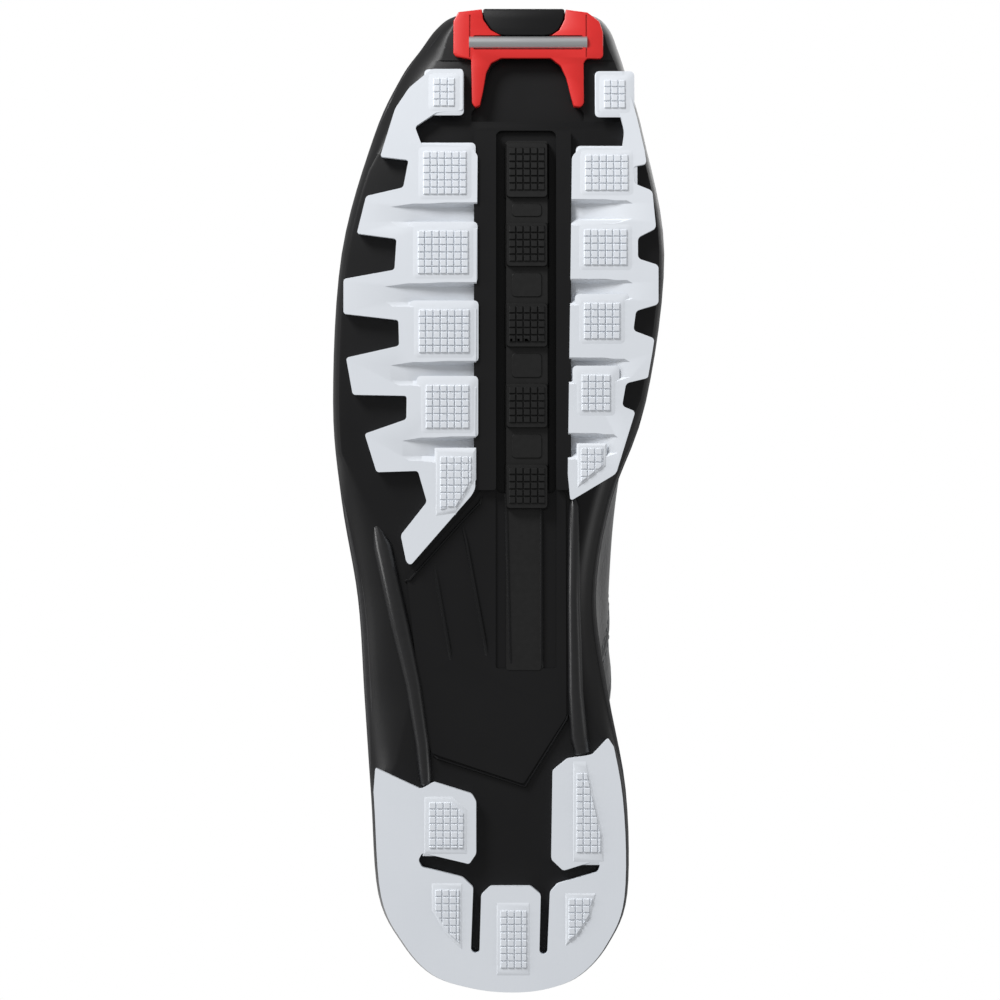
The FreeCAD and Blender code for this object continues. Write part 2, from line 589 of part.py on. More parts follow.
for side, name in ((-1, "lateral"), (1, "medial")):
    tape_x = GAP_HALF if side > 0 else -TAPE_OUT
    tooth_x = GAP_HALF if side > 0 else -TOOTH_OUT
    keep(zip_box(f"zip_tape_{name}", tape_x, "Dims.tape_width", -TAPE_SPARE,
                 f"Dims.zip_length + {2 * TAPE_SPARE}", TAPE_LOW, "Dims.tape_thickness"))
    keep(zip_box(f"zip_teeth_{name}", tooth_x, "Dims.tooth_width", size["stop_length"],
                 "Dims.zip_length - 2 * Dims.stop_length", TAPE_TOP, "Dims.tooth_thickness"))

STOP_TOP = size["zip_length"] - size["stop_length"]
stops = [zip_box("stop_bottom", -TOOTH_OUT, "Dims.zip_gap + 2 * Dims.tooth_width", 0.0,
                 "Dims.stop_length", TAPE_TOP, "Dims.tooth_thickness")]
stops += [zip_box(f"stop_top_{index}", x_low, "Dims.tooth_width", STOP_TOP, "Dims.stop_length",
                  TAPE_TOP, "Dims.tooth_thickness")
          for index, x_low in enumerate((-TOOTH_OUT, GAP_HALF))]
zip_stops = keep(doc.addObject("Part::Compound", "zip_stops"))
zip_stops.Label = "zip_stops"
zip_stops.Links = stops

# slider: two plates joined by a blade that runs in the gap between the rows
CLEAR = size["zip_clearance"]
SLIDER_HALF = size["slider_width"] / 2
SLIDER_START = STOP_TOP - CLEAR - size["slider_length"]
LOWER_PLATE = TAPE_LOW - CLEAR - size["slider_plate"]
UPPER_PLATE = TOOTH_TOP + CLEAR
SLIDER_TOP = UPPER_PLATE + size["slider_plate"]
EYE_WALL = 0.8
EYE_RADIUS = size["bail_diameter"] / 2 + CLEAR + EYE_WALL
PIN_HEIGHT = SLIDER_TOP + CLEAR + EYE_RADIUS
PIN_STATION = SLIDER_START + size["slider_length"] / 2
LUG_THICKNESS = 1.0
LUG_IN = size["puller_width"] / 2 - 0.8 + CLEAR
slider_boxes = [
    zip_box("slider_upper", -SLIDER_HALF, "Dims.slider_width", SLIDER_START,
            "Dims.slider_length", UPPER_PLATE, "Dims.slider_plate"),
    zip_box("slider_lower", -SLIDER_HALF, "Dims.slider_width", SLIDER_START,
            "Dims.slider_length", LOWER_PLATE, "Dims.slider_plate"),
    zip_box("slider_blade", CLEAR - GAP_HALF, "Dims.zip_gap - 2 * Dims.zip_clearance",
            SLIDER_START, "Dims.slider_length", LOWER_PLATE, f"{SLIDER_TOP - LOWER_PLATE}")]
for index, x_low in enumerate((-SLIDER_HALF, TOOTH_OUT + CLEAR)):
    slider_boxes.append(zip_box(
        f"slider_flange_{index}", x_low, f"{SLIDER_HALF - TOOTH_OUT - CLEAR}", SLIDER_START,
        "Dims.slider_length", TAPE_TOP + CLEAR, f"{SLIDER_TOP - TAPE_TOP - CLEAR}"))
for index, x_low in enumerate((-LUG_IN - LUG_THICKNESS, LUG_IN)):
    slider_boxes.append(zip_box(
        f"slider_lug_{index}", x_low, f"{LUG_THICKNESS}", PIN_STATION - 1.6, "3.2",
        UPPER_PLATE, f"{PIN_HEIGHT + 1.4 - UPPER_PLATE}"))


def zip_cylinder(label, radius_rule, length, x_low, z_low):
    """A round bar along X in the zip's frame, at the slider's pin."""
    bar_node = doc.addObject("Part::Cylinder", label)
    bar_node.Label = label
    bar_node.setExpression("Radius", radius_rule)
    bar_node.Height = length
    bar_node.Placement = zip_frame.multiply(FreeCAD.Placement(
        Vector(x_low, PIN_STATION, z_low), FreeCAD.Rotation(Vector(0, 1, 0), 90)))
    return bar_node


slider_pin = zip_cylinder("slider_pin", "Dims.bail_diameter / 2", 2 * LUG_IN + 1.0,
                          -LUG_IN - 0.5, PIN_HEIGHT)
zip_slider = keep(doc.addObject("Part::MultiFuse", "zip_slider"))
zip_slider.Label = "zip_slider"
zip_slider.Shapes = slider_boxes + [slider_pin]

# puller: flat tab whose eye turns on the slider's pin; it lies down the instep at rest
EYE_HALF = LUG_IN - CLEAR
eye = zip_cylinder("puller_eye", f"{EYE_RADIUS}", 2 * EYE_HALF, -EYE_HALF, PIN_HEIGHT)
tab = zip_box("puller_tab", -EYE_HALF, f"{2 * EYE_HALF}", PIN_STATION - size["puller_length"],
              "Dims.puller_length", PIN_HEIGHT - size["puller_thickness"] / 2,
              "Dims.puller_thickness")
grip = zip_box("puller_grip", -size["puller_width"] / 2, "Dims.puller_width",
               PIN_STATION - size["puller_length"], "Dims.puller_length - 8",
               PIN_HEIGHT - size["puller_thickness"] / 2, "Dims.puller_thickness")
puller_blank = doc.addObject("Part::MultiFuse", "puller_blank")
puller_blank.Shapes = [eye, tab, grip]
eye_bore = zip_cylinder("puller_bore", "Dims.bail_diameter / 2 + Dims.zip_clearance",
                        2 * EYE_HALF + 2.0, -EYE_HALF - 1.0, PIN_HEIGHT)
zip_puller = keep(doc.addObject("Part::Cut", "zip_puller"))
zip_puller.Label = "zip_puller"
zip_puller.Base = puller_blank
zip_puller.Tool = eye_bore

# ---- lace loops along both eyestays ------------------------------------------------------------
loops = []
loop_span = 6.0
LOOP_LOW = -size["loop_sink"]
for side in (-1, 1):
    for index in range(int(size["loop_count"])):
        station = 6.0 + index * (size["zip_length"] - 12.0) / (size["loop_count"] - 1)
        x_low = THROAT_HALF - loop_span if side > 0 else -THROAT_HALF
        plate_loop = Part.makeBox(loop_span, size["loop_width"], size["loop_wire"],
                                  Vector(x_low, station - size["loop_width"] / 2, LOOP_LOW))
        hole = Part.makeBox(loop_span - 2 * size["loop_wire"],
                            size["loop_width"] - 2 * size["loop_wire"], 3 * size["loop_wire"],
                            Vector(x_low + size["loop_wire"],
                                   station - size["loop_width"] / 2 + size["loop_wire"],
                                   LOOP_LOW - size["loop_wire"]))
        loop = plate_loop.cut(hole)
        loop.Placement = zip_frame.multiply(loop.Placement)
        loops.append(loop)
solid_part("lace_loops", Part.makeCompound(loops))

# ---- heel loop ---------------------------------------------------------------------------------
rim_back = ring_point(COLLAR_RING, 2)
bore_radius = size["heel_loop_bore"] / 2
loop_outer = bore_radius + size["loop_strap"]
loop_centre = Vector(ANKLE_AXIS - size["heel_loop_width"] / 2,
                     rim_back.y - size["shell_thickness"] / 2, rim_back.z + bore_radius * 0.8)
ring = Part.makeCylinder(loop_outer, size["heel_loop_width"], loop_centre, Vector(1, 0, 0))
ring = ring.cut(Part.makeCylinder(bore_radius, size["heel_loop_width"], loop_centre,
                                  Vector(1, 0, 0)))
solid_part("heel_loop", ring.cut(below_collar(0.0)))

# ---- check and write ---------------------------------------------------------------------------
doc.recompute()
for node in doc.Objects:
    if "Invalid" in node.State or "Error" in node.State:
        raise RuntimeError(f"{node.Label} failed to recompute")
os.makedirs("parts", exist_ok=True)
for node in sub_parts:
    if node.Shape.isNull() or not node.Shape.isValid() or not node.Shape.Solids:
        raise RuntimeError(f"{node.Label} has no valid solid")
    print(node.Label, len(node.Shape.Solids), round(node.Shape.Volume))
    node.Shape.exportStep(f"parts/{node.Label}.step")
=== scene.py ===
# Cross-country ski boot, right foot, for a single-bar toe binding: its looks around the CAD part.
# Places and sizes below are millimetres in the boot's frame (toe toward -Y, inner side toward
# +X, ground at z = 0); each finished mesh is scaled to metres.
import math

import bmesh
import bpy
from mathutils import Matrix, Vector


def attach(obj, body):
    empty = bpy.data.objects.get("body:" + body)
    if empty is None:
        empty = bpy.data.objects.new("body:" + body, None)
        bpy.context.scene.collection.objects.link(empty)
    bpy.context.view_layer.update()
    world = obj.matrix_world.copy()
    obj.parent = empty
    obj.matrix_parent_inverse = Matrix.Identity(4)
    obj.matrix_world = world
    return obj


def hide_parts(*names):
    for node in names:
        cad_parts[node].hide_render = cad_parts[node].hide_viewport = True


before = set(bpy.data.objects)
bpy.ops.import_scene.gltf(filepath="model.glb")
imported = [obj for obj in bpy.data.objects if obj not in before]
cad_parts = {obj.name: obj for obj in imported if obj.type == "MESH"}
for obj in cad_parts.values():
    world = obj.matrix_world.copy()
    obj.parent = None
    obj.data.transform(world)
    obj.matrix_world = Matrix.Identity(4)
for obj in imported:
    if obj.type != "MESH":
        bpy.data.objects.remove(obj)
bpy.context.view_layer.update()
MM = 0.001


# ==== Studio: camera, floor and light ===========================================================
# The boot is seen from straight below with the toe up. The floor is a plain pale plane that the
# boot stands on; it shows from above only, so the sole can be seen through it.
VIEW_WIDTH = 0.3020
VIEW_CENTRE_X = 0.0003
LENS = 150.0
SENSOR = 36.0
camera_data = bpy.data.cameras.new("camera")
camera_data.lens = LENS
camera_data.sensor_width = SENSOR
camera_data.clip_start = 0.05
camera_data.clip_end = 20.0
camera = bpy.data.objects.new("camera", camera_data)
camera.location = (VIEW_CENTRE_X, 0.0, -VIEW_WIDTH * LENS / SENSOR)
camera.rotation_euler = (math.pi, 0.0, 0.0)
bpy.context.collection.objects.link(camera)
bpy.context.scene.camera = camera
bpy.context.scene.view_settings.view_transform = "Standard"


class Wire:
    """A shader socket that takes part in sums, so that shader maths reads as an expression."""

    def __init__(self, paint, socket):
        self.paint = paint
        self.socket = socket

    def _with(self, other, operation):
        return self.paint.node("ShaderNodeMath", {"operation": operation}, {0: self, 1: other})

    def __add__(self, other):
        return self._with(other, "ADD")

    def __mul__(self, other):
        return self._with(other, "MULTIPLY")

    __radd__ = __add__
    __rmul__ = __mul__


class Paint:
    """One material under construction: its nodes, and its surface shader."""

    def __init__(self, name):
        self.material = bpy.data.materials.new(name)
        self.material.use_nodes = True
        self.tree = self.material.node_tree
        self.shader = self.tree.nodes["Principled BSDF"]
        self.place = self.node("ShaderNodeTexCoord", {}, {}, "Object")

    def node(self, kind, settings, inputs, output=0):
        """Adds a node with its settings, then the values or wires of its sockets."""
        made = self.tree.nodes.new(kind)
        for key, value in settings.items():
            setattr(made, key, value)
        for key, value in inputs.items():
            self.feed(made.inputs[key], value)
        return Wire(self, made.outputs[output])

    def feed(self, socket, value):
        if isinstance(value, Wire):
            self.tree.links.new(value.socket, socket)
        else:
            socket.default_value = value

    def scaled(self, scale, turn=(0.0, 0.0, 0.0)):
        return self.node("ShaderNodeMapping", {}, {"Vector": self.place, "Scale": scale,
                                                   "Rotation": turn})

    def noise(self, scale, detail, rough=0.55, at=None):
        return self.node("ShaderNodeTexNoise", {}, {
            "Vector": at or self.place, "Scale": scale, "Detail": detail, "Roughness": rough})

    def between(self, mask, low, high):
        """Smooth 0 to 1 as `mask` goes from `low` to `high`."""
        return self.node("ShaderNodeMapRange", {"interpolation_type": "SMOOTHSTEP"},
                         {"Value": mask, "From Min": low, "From Max": high})

    def mix(self, mask, first, second):
        return self.node("ShaderNodeMix", {"data_type": "RGBA"},
                         {0: mask, 6: first, 7: second}, 2)

    def bump(self, height, distance, strength):
        return self.node("ShaderNodeBump", {}, {"Height": height, "Distance": distance,
                                                "Strength": strength})

    def finish(self, **inputs):
        """Feeds the surface shader and gives back the material."""
        for key, value in inputs.items():
            self.feed(self.shader.inputs[key.replace("_", " ")], value)
        return self.material


FLOOR_HALF = 3.0
FLOOR_GLOW = 0.48
floor_bm = bmesh.new()
bmesh.ops.create_grid(floor_bm, x_segments=1, y_segments=1, size=FLOOR_HALF)
floor_mesh = bpy.data.meshes.new("floor")
floor_bm.to_mesh(floor_mesh)
floor = bpy.data.objects.new("floor", floor_mesh)
bpy.context.collection.objects.link(floor)
floor_paint = Paint("floor_paper")
paper_grain = floor_paint.noise(60.0, 3.0)
paper = floor_paint.finish(
    Base_Color=floor_paint.mix(paper_grain, (0.52, 0.52, 0.52, 1), (0.55, 0.55, 0.55, 1)),
    Roughness=0.9, Emission_Color=(1.0, 1.0, 1.0, 1.0), Emission_Strength=FLOOR_GLOW)
seen_under = floor_paint.node("ShaderNodeNewGeometry", {}, {}, "Backfacing")
clear = floor_paint.node("ShaderNodeBsdfTransparent", {}, {})
floor_sides = floor_paint.node("ShaderNodeMixShader", {}, {
    0: seen_under, 1: Wire(floor_paint, floor_paint.shader.outputs[0]), 2: clear})
floor_paint.feed(floor_paint.tree.nodes["Material Output"].inputs["Surface"], floor_sides)
floor_mesh.materials.append(paper)
for ray in ("visible_shadow", "visible_diffuse", "visible_glossy"):
    setattr(floor, ray, False)

ROOM_LEVEL, BACKDROP_LEVEL = 0.38, 1.0
world = bpy.data.worlds.new("studio")
world.use_nodes = True
sky = world.node_tree.nodes["Background"]
sky.inputs["Color"].default_value = (1.0, 1.0, 1.0, 1.0)
seen = world.node_tree.nodes.new("ShaderNodeLightPath")
level = world.node_tree.nodes.new("ShaderNodeMapRange")
level.inputs["To Min"].default_value = ROOM_LEVEL
level.inputs["To Max"].default_value = BACKDROP_LEVEL
world.node_tree.links.new(seen.outputs["Is Camera Ray"], level.inputs["Value"])
world.node_tree.links.new(level.outputs["Result"], sky.inputs["Strength"])
bpy.context.scene.world = world


def soft_light(name, place, size, power):
    """A round soft lamp that points at the boot."""
    light = bpy.data.lights.new(name, "AREA")
    light.shape = "DISK"
    light.size = size
    light.energy = power
    lamp = bpy.data.objects.new(name, light)
    lamp.location = place
    lamp.rotation_euler = (-Vector(place)).to_track_quat("-Z", "Y").to_euler()
    bpy.context.collection.objects.link(lamp)


soft_light("under_key", (-1.00, -1.35, -0.85), 0.70, 36.0)
soft_light("under_side", (0.95, 0.30, -0.25), 0.40, 2.0)
soft_light("under_left", (-1.10, -0.10, -0.25), 0.45, 3.5)
soft_light("over_key", (0.7, -0.9, 1.3), 1.6, 15.0)
soft_light("over_back", (-0.8, 1.0, 1.1), 1.6, 10.0)


# ==== Treads: three pieces of off-white rubber ==================================================
# The lugs are moulded in hard rubber and welded to the sole plate. Each row has a raised block
# with a fine pyramid hatch, and a groove that runs out of the edge between one row and the next.
BALL = -50.0
TOE_RADIUS = 450.0
TREAD_THICK = 4.0


def rise(y):
    """Height of the running surface: flat to the ball, then one large arc up to the toe."""
    if y > BALL:
        return 0.0
    return TOE_RADIUS - math.sqrt(TOE_RADIUS ** 2 - (y - BALL) ** 2)


STATIONS = [
    (0.0008, -4, 19.5), (0.005, -13.8, 29.2), (0.018, -19.2, 33.7), (0.04, -24, 36.4),
    (0.07, -30.2, 39.2), (0.13, -38.3, 44.2), (0.25, -48, 50.4), (0.40, -50.6, 44.8),
    (0.50, -48, 34), (0.60, -43, 29.1), (0.70, -41, 33), (0.80, -39, 38.6),
    (0.90, -36.8, 39.1), (0.95, -29.6, 33.5), (0.982, -20.5, 25), (0.996, -8, 15)]
TOE_TIP = (0.0, 8.0)
HEEL_TIP = (1.0, 4.0)
LAST = [TOE_TIP] + [(f, medial) for f, _, medial in STATIONS] + [HEEL_TIP] + [
    (f, lateral) for f, lateral, _ in reversed(STATIONS)]
COUNT = len(LAST)
HEEL = COUNT // 2
TOE_Y, LENGTH = -150.0, 300.0


def blend(a, b, c, d, w):
    """The share w of the way from b to c, on a smooth line that also runs by a and d."""
    return 0.5 * ((2 * b) + (c - a) * w + (2 * a - 5 * b + 4 * c - d) * w * w
                  + (3 * b - a - 3 * c + d) * w ** 3)


def curve(points, t):
    """Closed smooth curve through `points`, at the point number t, which need not be whole."""
    base = math.floor(t)
    near = [Vector(points[(base + step) % len(points)]) for step in (-1, 0, 1, 2)]
    return blend(*near, t - base)


def ramp(value, stops):
    """Straight-line reading between (place, value) stops."""
    if value <= stops[0][0]:
        return stops[0][1]
    for (a, first), (b, second) in zip(stops, stops[1:]):
        if value <= b:
            return first + (second - first) * (value - a) / (b - a)
    return stops[-1][1]


LATERAL_FLANK = [
    (-150, 0.4), (-147, 3.0), (-136, 7.5), (-122, 6.0), (-100, 1.6), (-14, 1.6), (8, 9.0),
    (30, 12.5), (60, 14.0), (80, 8.0), (92, 1.2)]
MEDIAL_FLANK = [
    (-150, 0.4), (-147, 1.6), (-140, 2.6), (-120, 1.2), (-30, 1.4), (-6, 5.0), (20, 5.6),
    (55, 7.0), (70, 4.0), (82, 1.2)]
PER_POINT = 6


def sole_ring(share, add, z):
    """The plate's outline, brought in by `share` of the flank's width plus `add`."""
    outline = [Vector((x, TOE_Y + LENGTH * f, 0.0)) for f, x in LAST]
    ring = []
    for step in range(COUNT * PER_POINT):
        t = step / PER_POINT
        here = curve(outline, t)
        along = curve(outline, t + 0.02) - curve(outline, t - 0.02)
        inward = Vector((-along.y, along.x, 0.0)).normalized()
        flank = ramp(here.y, MEDIAL_FLANK if t < HEEL else LATERAL_FLANK)
        ring.append(here + inward * (flank * share + add) + Vector((0, 0, z)))
    return ring


def ease(bm, geom, offset, segments, affect="EDGES"):
    """Rounds some edges, or some corners, of a bmesh."""
    bmesh.ops.bevel(bm, geom=geom, offset=offset, segments=segments, profile=0.5, affect=affect,
                    clamp_overlap=True, material=-1)


def plate_bm(points, low, high, corner, edge=0.0):
    """A flat moulding with a rounded outline and, if asked, a rounded lower edge."""
    bm = bmesh.new()
    ring = [bm.verts.new((x, y, low)) for x, y in points]
    bm.faces.new(ring)
    if corner:
        ease(bm, ring, corner, 4, "VERTICES")
    bmesh.ops.remove_doubles(bm, verts=bm.verts, dist=0.02)
    grown = bmesh.ops.extrude_face_region(bm, geom=bm.faces[:])
    moved = [item for item in grown["geom"] if isinstance(item, bmesh.types.BMVert)]
    bmesh.ops.translate(bm, verts=moved, vec=(0.0, 0.0, high - low))
    bmesh.ops.recalc_face_normals(bm, faces=bm.faces)
    if edge:
        rim = [e for e in bm.edges if all(abs(v.co.z - low) < 1e-5 for v in e.verts)]
        ease(bm, rim, edge, 2)
    return bm


def join_bm(target, part):
    """Adds one bmesh to another."""
    spare = bpy.data.meshes.new("spare")
    part.to_mesh(spare)
    part.free()
    target.from_mesh(spare)
    bpy.data.meshes.remove(spare)


def loft_bm(rings, close=True):
    """Closed rings of points joined one to the next, with a face over each end if closed."""
    bm = bmesh.new()
    loops = []
    for ring in rings:
        verts = [bm.verts.new(point) for point in ring]
        loops.append([bm.edges.new(pair) for pair in zip(verts, verts[1:] + verts[:1])])
    for first, second in zip(loops, loops[1:]):
        bmesh.ops.bridge_loops(bm, edges=first + second)
    if close:
        bmesh.ops.holes_fill(bm, edges=loops[0] + loops[-1], sides=0)
    else:
        bmesh.ops.bridge_loops(bm, edges=loops[-1] + loops[0])
    bmesh.ops.recalc_face_normals(bm, faces=bm.faces)
    return bm


def carved(bm, cutters, operation="DIFFERENCE"):
    """The bmesh with its cutters, closed bmeshes, taken out of it, or kept only inside them."""
    tools = bmesh.new()
    for cutter in cutters:
        join_bm(tools, cutter)
    objects = []
    for name, source in (("blank", bm), ("tools", tools)):
        mesh = bpy.data.meshes.new(name)
        source.to_mesh(mesh)
        source.free()
        made = bpy.data.objects.new(name, mesh)
        bpy.context.collection.objects.link(made)
        objects.append(made)
    modifier = objects[0].modifiers.new("carve", "BOOLEAN")
    modifier.object = objects[1]
    modifier.operation = operation
    modifier.solver = "EXACT"
    modifier.use_self = True
    result = bmesh.new()
    graph = bpy.context.evaluated_depsgraph_get()
    result.from_mesh(objects[0].evaluated_get(graph).to_mesh())
    for made in objects:
        mesh = made.data
        bpy.data.objects.remove(made)
        bpy.data.meshes.remove(mesh)
    bmesh.ops.remove_doubles(result, verts=result.verts, dist=0.01)
    bmesh.ops.dissolve_limit(result, angle_limit=math.radians(0.5), verts=result.verts,
                             edges=result.edges)
    return result


SLICE = 6.0
FIRST_SLICE = -144.0


def follow_sole(bm):
    """Bends a flat moulding up along the toe-spring arc."""
    y = FIRST_SLICE
    while y < BALL + SLICE:
        bmesh.ops.bisect_plane(bm, geom=bm.verts[:] + bm.edges[:] + bm.faces[:],
                               plane_co=(0, y, 0), plane_no=(0, 1, 0))
        y += SLICE
    for vert in bm.verts:
        vert.co.z += rise(vert.co.y)
    return bm


SOFTEN_FROM = 28.0


def piece(bm, name, material, body="boot", smooth=38.0, soften=0.0, extra=False):
    """Turns a finished bmesh into one piece, riding on a body. It stands for the node of its
    own name, unless it is extra."""
    bmesh.ops.scale(bm, verts=bm.verts, vec=(MM, MM, MM))
    mesh = bpy.data.meshes.new(name)
    bm.to_mesh(mesh)
    bm.free()
    mesh.materials.append(material)
    mesh.polygons.foreach_set("use_smooth", [True] * len(mesh.polygons))
    mesh.set_sharp_from_angle(angle=math.radians(smooth))
    made = bpy.data.objects.new(name, mesh)
    bpy.context.collection.objects.link(made)
    if soften:
        bevel = made.modifiers.new("soften", "BEVEL")
        bevel.width = soften * MM
        bevel.segments = 2
        bevel.limit_method = "ANGLE"
        bevel.angle_limit = math.radians(SOFTEN_FROM)
        bevel.harden_normals = True
    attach(made, body)
    if not extra:
        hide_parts(name)
    return made


TILE = 2.2
TIP_SHARE, FOOT_SHARE = 0.50, 0.69


def hatch_bm(rows, y_start, x_start, low, height=0.5):
    """Rows of small cut-off pyramids; each row gives its first and last column."""
    bm = bmesh.new()
    for row, (first, last) in enumerate(rows):
        for column in range(first, last):
            place = (x_start + (column + 0.5) * TILE, y_start + (row + 0.5) * TILE,
                     low - height / 2)
            bmesh.ops.create_cone(
                bm, cap_ends=True, segments=4, radius1=TILE * TIP_SHARE,
                radius2=TILE * FOOT_SHARE, depth=height,
                matrix=Matrix.Translation(place) @ Matrix.Rotation(math.pi / 4, 4, "Z"))
    return bm


BLOCK_CORNER = 0.9


def block_bm(x_low, x_high, y_low, y_high, low, high, flare):
    """A raised block with sloping sides, under a patch of hatch."""
    corners = [(x_low, y_low), (x_high, y_low), (x_high, y_high), (x_low, y_high)]
    centre = Vector(((x_low + x_high) / 2, (y_low + y_high) / 2))
    rings = []
    for spread, z in ((0.0, low), (flare, high)):
        rings.append([(x + math.copysign(spread, x - centre.x),
                       y + math.copysign(spread, y - centre.y), z) for x, y in corners])
    bm = loft_bm(rings)
    upright = [e for e in bm.edges if abs(e.verts[0].co.z - e.verts[1].co.z) > 0.1]
    ease(bm, upright, BLOCK_CORNER, 3)
    return bm


def hatch_patch_bm(outline, low):
    """Hatch over a many-sided patch, cut off cleanly at the patch's edge."""
    xs, ys = zip(*outline)
    columns = math.ceil((max(xs) - min(xs)) / TILE)
    rows = math.ceil((max(ys) - min(ys)) / TILE)
    tiles = hatch_bm([(0, columns)] * rows, min(ys), min(xs), low)
    return carved(tiles, [plate_bm(outline, -2.0, 3.0, 0.0)], "INTERSECT")


def pillow_bm(outline, low, high):
    """The soft raised bed that carries a patch of hatch."""
    middle = sum((Vector(point) for point in outline), Vector((0, 0))) / len(outline)
    rings = []
    for grow, z in ((1.10, low), (1.20, low + 0.10), (1.34, high)):
        rings.append([(*(middle + (Vector(point) - middle) * grow), z) for point in outline])
    return loft_bm(rings)


GROOVE_DEPTH = 3.2
GROOVE_FLOOR = 2.3
GROOVE_STEEP, GROOVE_GENTLE = 2.2, 3.4
GROOVE_MOUTH = -1.2


def groove_bm(x_open, x_fade, centre):
    """Cutter for a groove that is deepest at the tread's inner edge and fades out."""
    rings = []
    for share, deep in ((0.0, GROOVE_DEPTH), (0.35, GROOVE_DEPTH * 0.92),
                        (0.68, GROOVE_DEPTH * 0.55), (1.0, -0.2)):
        x = x_open + (x_fade - x_open) * share
        rings.append([(x, centre - GROOVE_FLOOR - GROOVE_STEEP, GROOVE_MOUTH),
                      (x, centre - GROOVE_FLOOR, deep), (x, centre + GROOVE_FLOOR, deep),
                      (x, centre + GROOVE_FLOOR + GROOVE_GENTLE, GROOVE_MOUTH)])
    return loft_bm(rings)


tread_paint = Paint("tread_white_rubber")
mottle = tread_paint.noise(26.0, 4.0)
grime = tread_paint.between(tread_paint.noise(9.0, 6.0, 0.7), 0.56, 0.80)
clean = tread_paint.mix(mottle, (0.665, 0.70, 0.75, 1), (0.735, 0.765, 0.81, 1))
tread_fine = tread_paint.noise(1400.0, 2.0)
scuffs = tread_paint.noise(1.0, 2.0, 0.5, tread_paint.scaled((900.0, 60.0, 300.0),
                                                             (0.0, 0.0, 0.5)))
scuff_mask = tread_paint.between(scuffs, 0.62, 0.75)
TREAD_WHITE = tread_paint.finish(
    Base_Color=tread_paint.mix(grime * 0.35 + scuff_mask * 0.05, clean, (0.60, 0.62, 0.64, 1)),
    Roughness=0.42 + mottle * 0.16 + scuff_mask * 0.1,
    Normal=tread_paint.bump(tread_fine * 0.6 + scuffs * 0.4, 0.00006, 0.35))

FACE = 0.45
lateral_outline = [
    (-20.5, -131.0), (-11.0, -131.0), (-11.0, -118.2), (-19.0, -117.6), (-25.5, -113.2),
    (-23.5, -107.8), (-9.2, -107.4), (-6.5, -104.6), (-7.2, -3.5), (-8.2, -1.5), (-26.7, 19.7),
    (-28.0, 18.8), (-29.7, 10.6), (-21.8, 0.6), (-24.5, -8.8), (-37.0, -8.4), (-40.6, -20.0),
    (-28.0, -24.4), (-27.9, -31.5), (-44.2, -31.8), (-46.2, -43.0), (-30.2, -46.6),
    (-30.4, -54.4), (-47.0, -56.3), (-47.0, -66.8), (-31.6, -69.6), (-31.0, -79.0),
    (-43.0, -80.6), (-40.2, -92.0), (-29.0, -94.6), (-27.4, -103.0), (-36.0, -104.0),
    (-31.5, -118.8), (-27.3, -125.2)]
lateral_pads = [(-20.0, -128.2, 3, 4), (-23.0, -105.6, 6, 6), (-24.6, -81.5, 7, 6),
                (-24.3, -57.6, 7, 6), (-22.2, -34.8, 6, 6)]
medial_outline = [
    (29.4, -130.3), (38.4, -130.3), (43.0, -113.6), (44.7, -101.8), (40.6, -101.0),
    (41.0, -95.8), (46.4, -93.6), (47.5, -82.2), (42.0, -79.4), (42.0, -73.0), (48.2, -71.0),
    (48.2, -59.2), (41.4, -57.2), (40.6, -51.2), (47.0, -48.8), (45.3, -37.0), (38.4, -35.3),
    (37.2, -28.4), (41.2, -26.8), (35.4, -8.0), (33.3, -6.7), (21.6, 0.3), (20.8, -7.6),
    (22.1, -104.2), (24.8, -106.8), (37.3, -106.4), (38.0, -111.8), (36.6, -117.5),
    (29.4, -117.8)]
medial_pads = [(31.8, -127.6, 3, 4), (26.0, -104.6, 6, 5), (25.6, -81.9, 6, 5),
               (25.6, -59.6, 5, 5), (24.9, -37.9, 4, 5)]
heel_outline = [
    (-37.4, 81.0), (-23.6, 87.4), (-19.7, 85.2), (-8.2, 88.8), (-6.9, 91.0), (-6.9, 106.9),
    (-9.0, 110.0), (-23.2, 106.6), (-24.4, 108.8), (-23.4, 110.9), (-11.0, 114.0),
    (-7.8, 117.0), (-8.5, 136.0), (-7.4, 137.0), (-5.9, 136.6), (-5.4, 119.4), (-2.6, 116.7),
    (9.6, 116.7), (12.6, 119.2), (12.2, 136.6), (13.2, 137.4), (14.6, 136.8), (15.4, 118.6),
    (17.6, 116.0), (29.8, 112.4), (30.6, 110.2), (29.6, 108.8), (19.4, 112.0), (15.8, 108.6),
    (16.2, 81.8), (20.6, 78.2), (28.2, 77.0), (33.0, 72.0), (35.6, 76.0), (39.6, 89.4),
    (42.0, 103.3), (42.0, 118.0), (40.0, 131.0), (33.0, 142.0), (22.0, 150.0), (6.0, 152.0),
    (-8.0, 151.5), (-21.0, 147.0), (-31.0, 139.0), (-38.0, 128.0), (-39.5, 110.0)]


EDGE_SHOWN = 1.2
SUNK = 0.6
PAD_MARGIN, PAD_FLARE = 0.9, 1.8
PAD_FACE, PAD_HATCH = 0.33, 0.38
PILLOW_FACE, PILLOW_HATCH = 0.22, 0.36


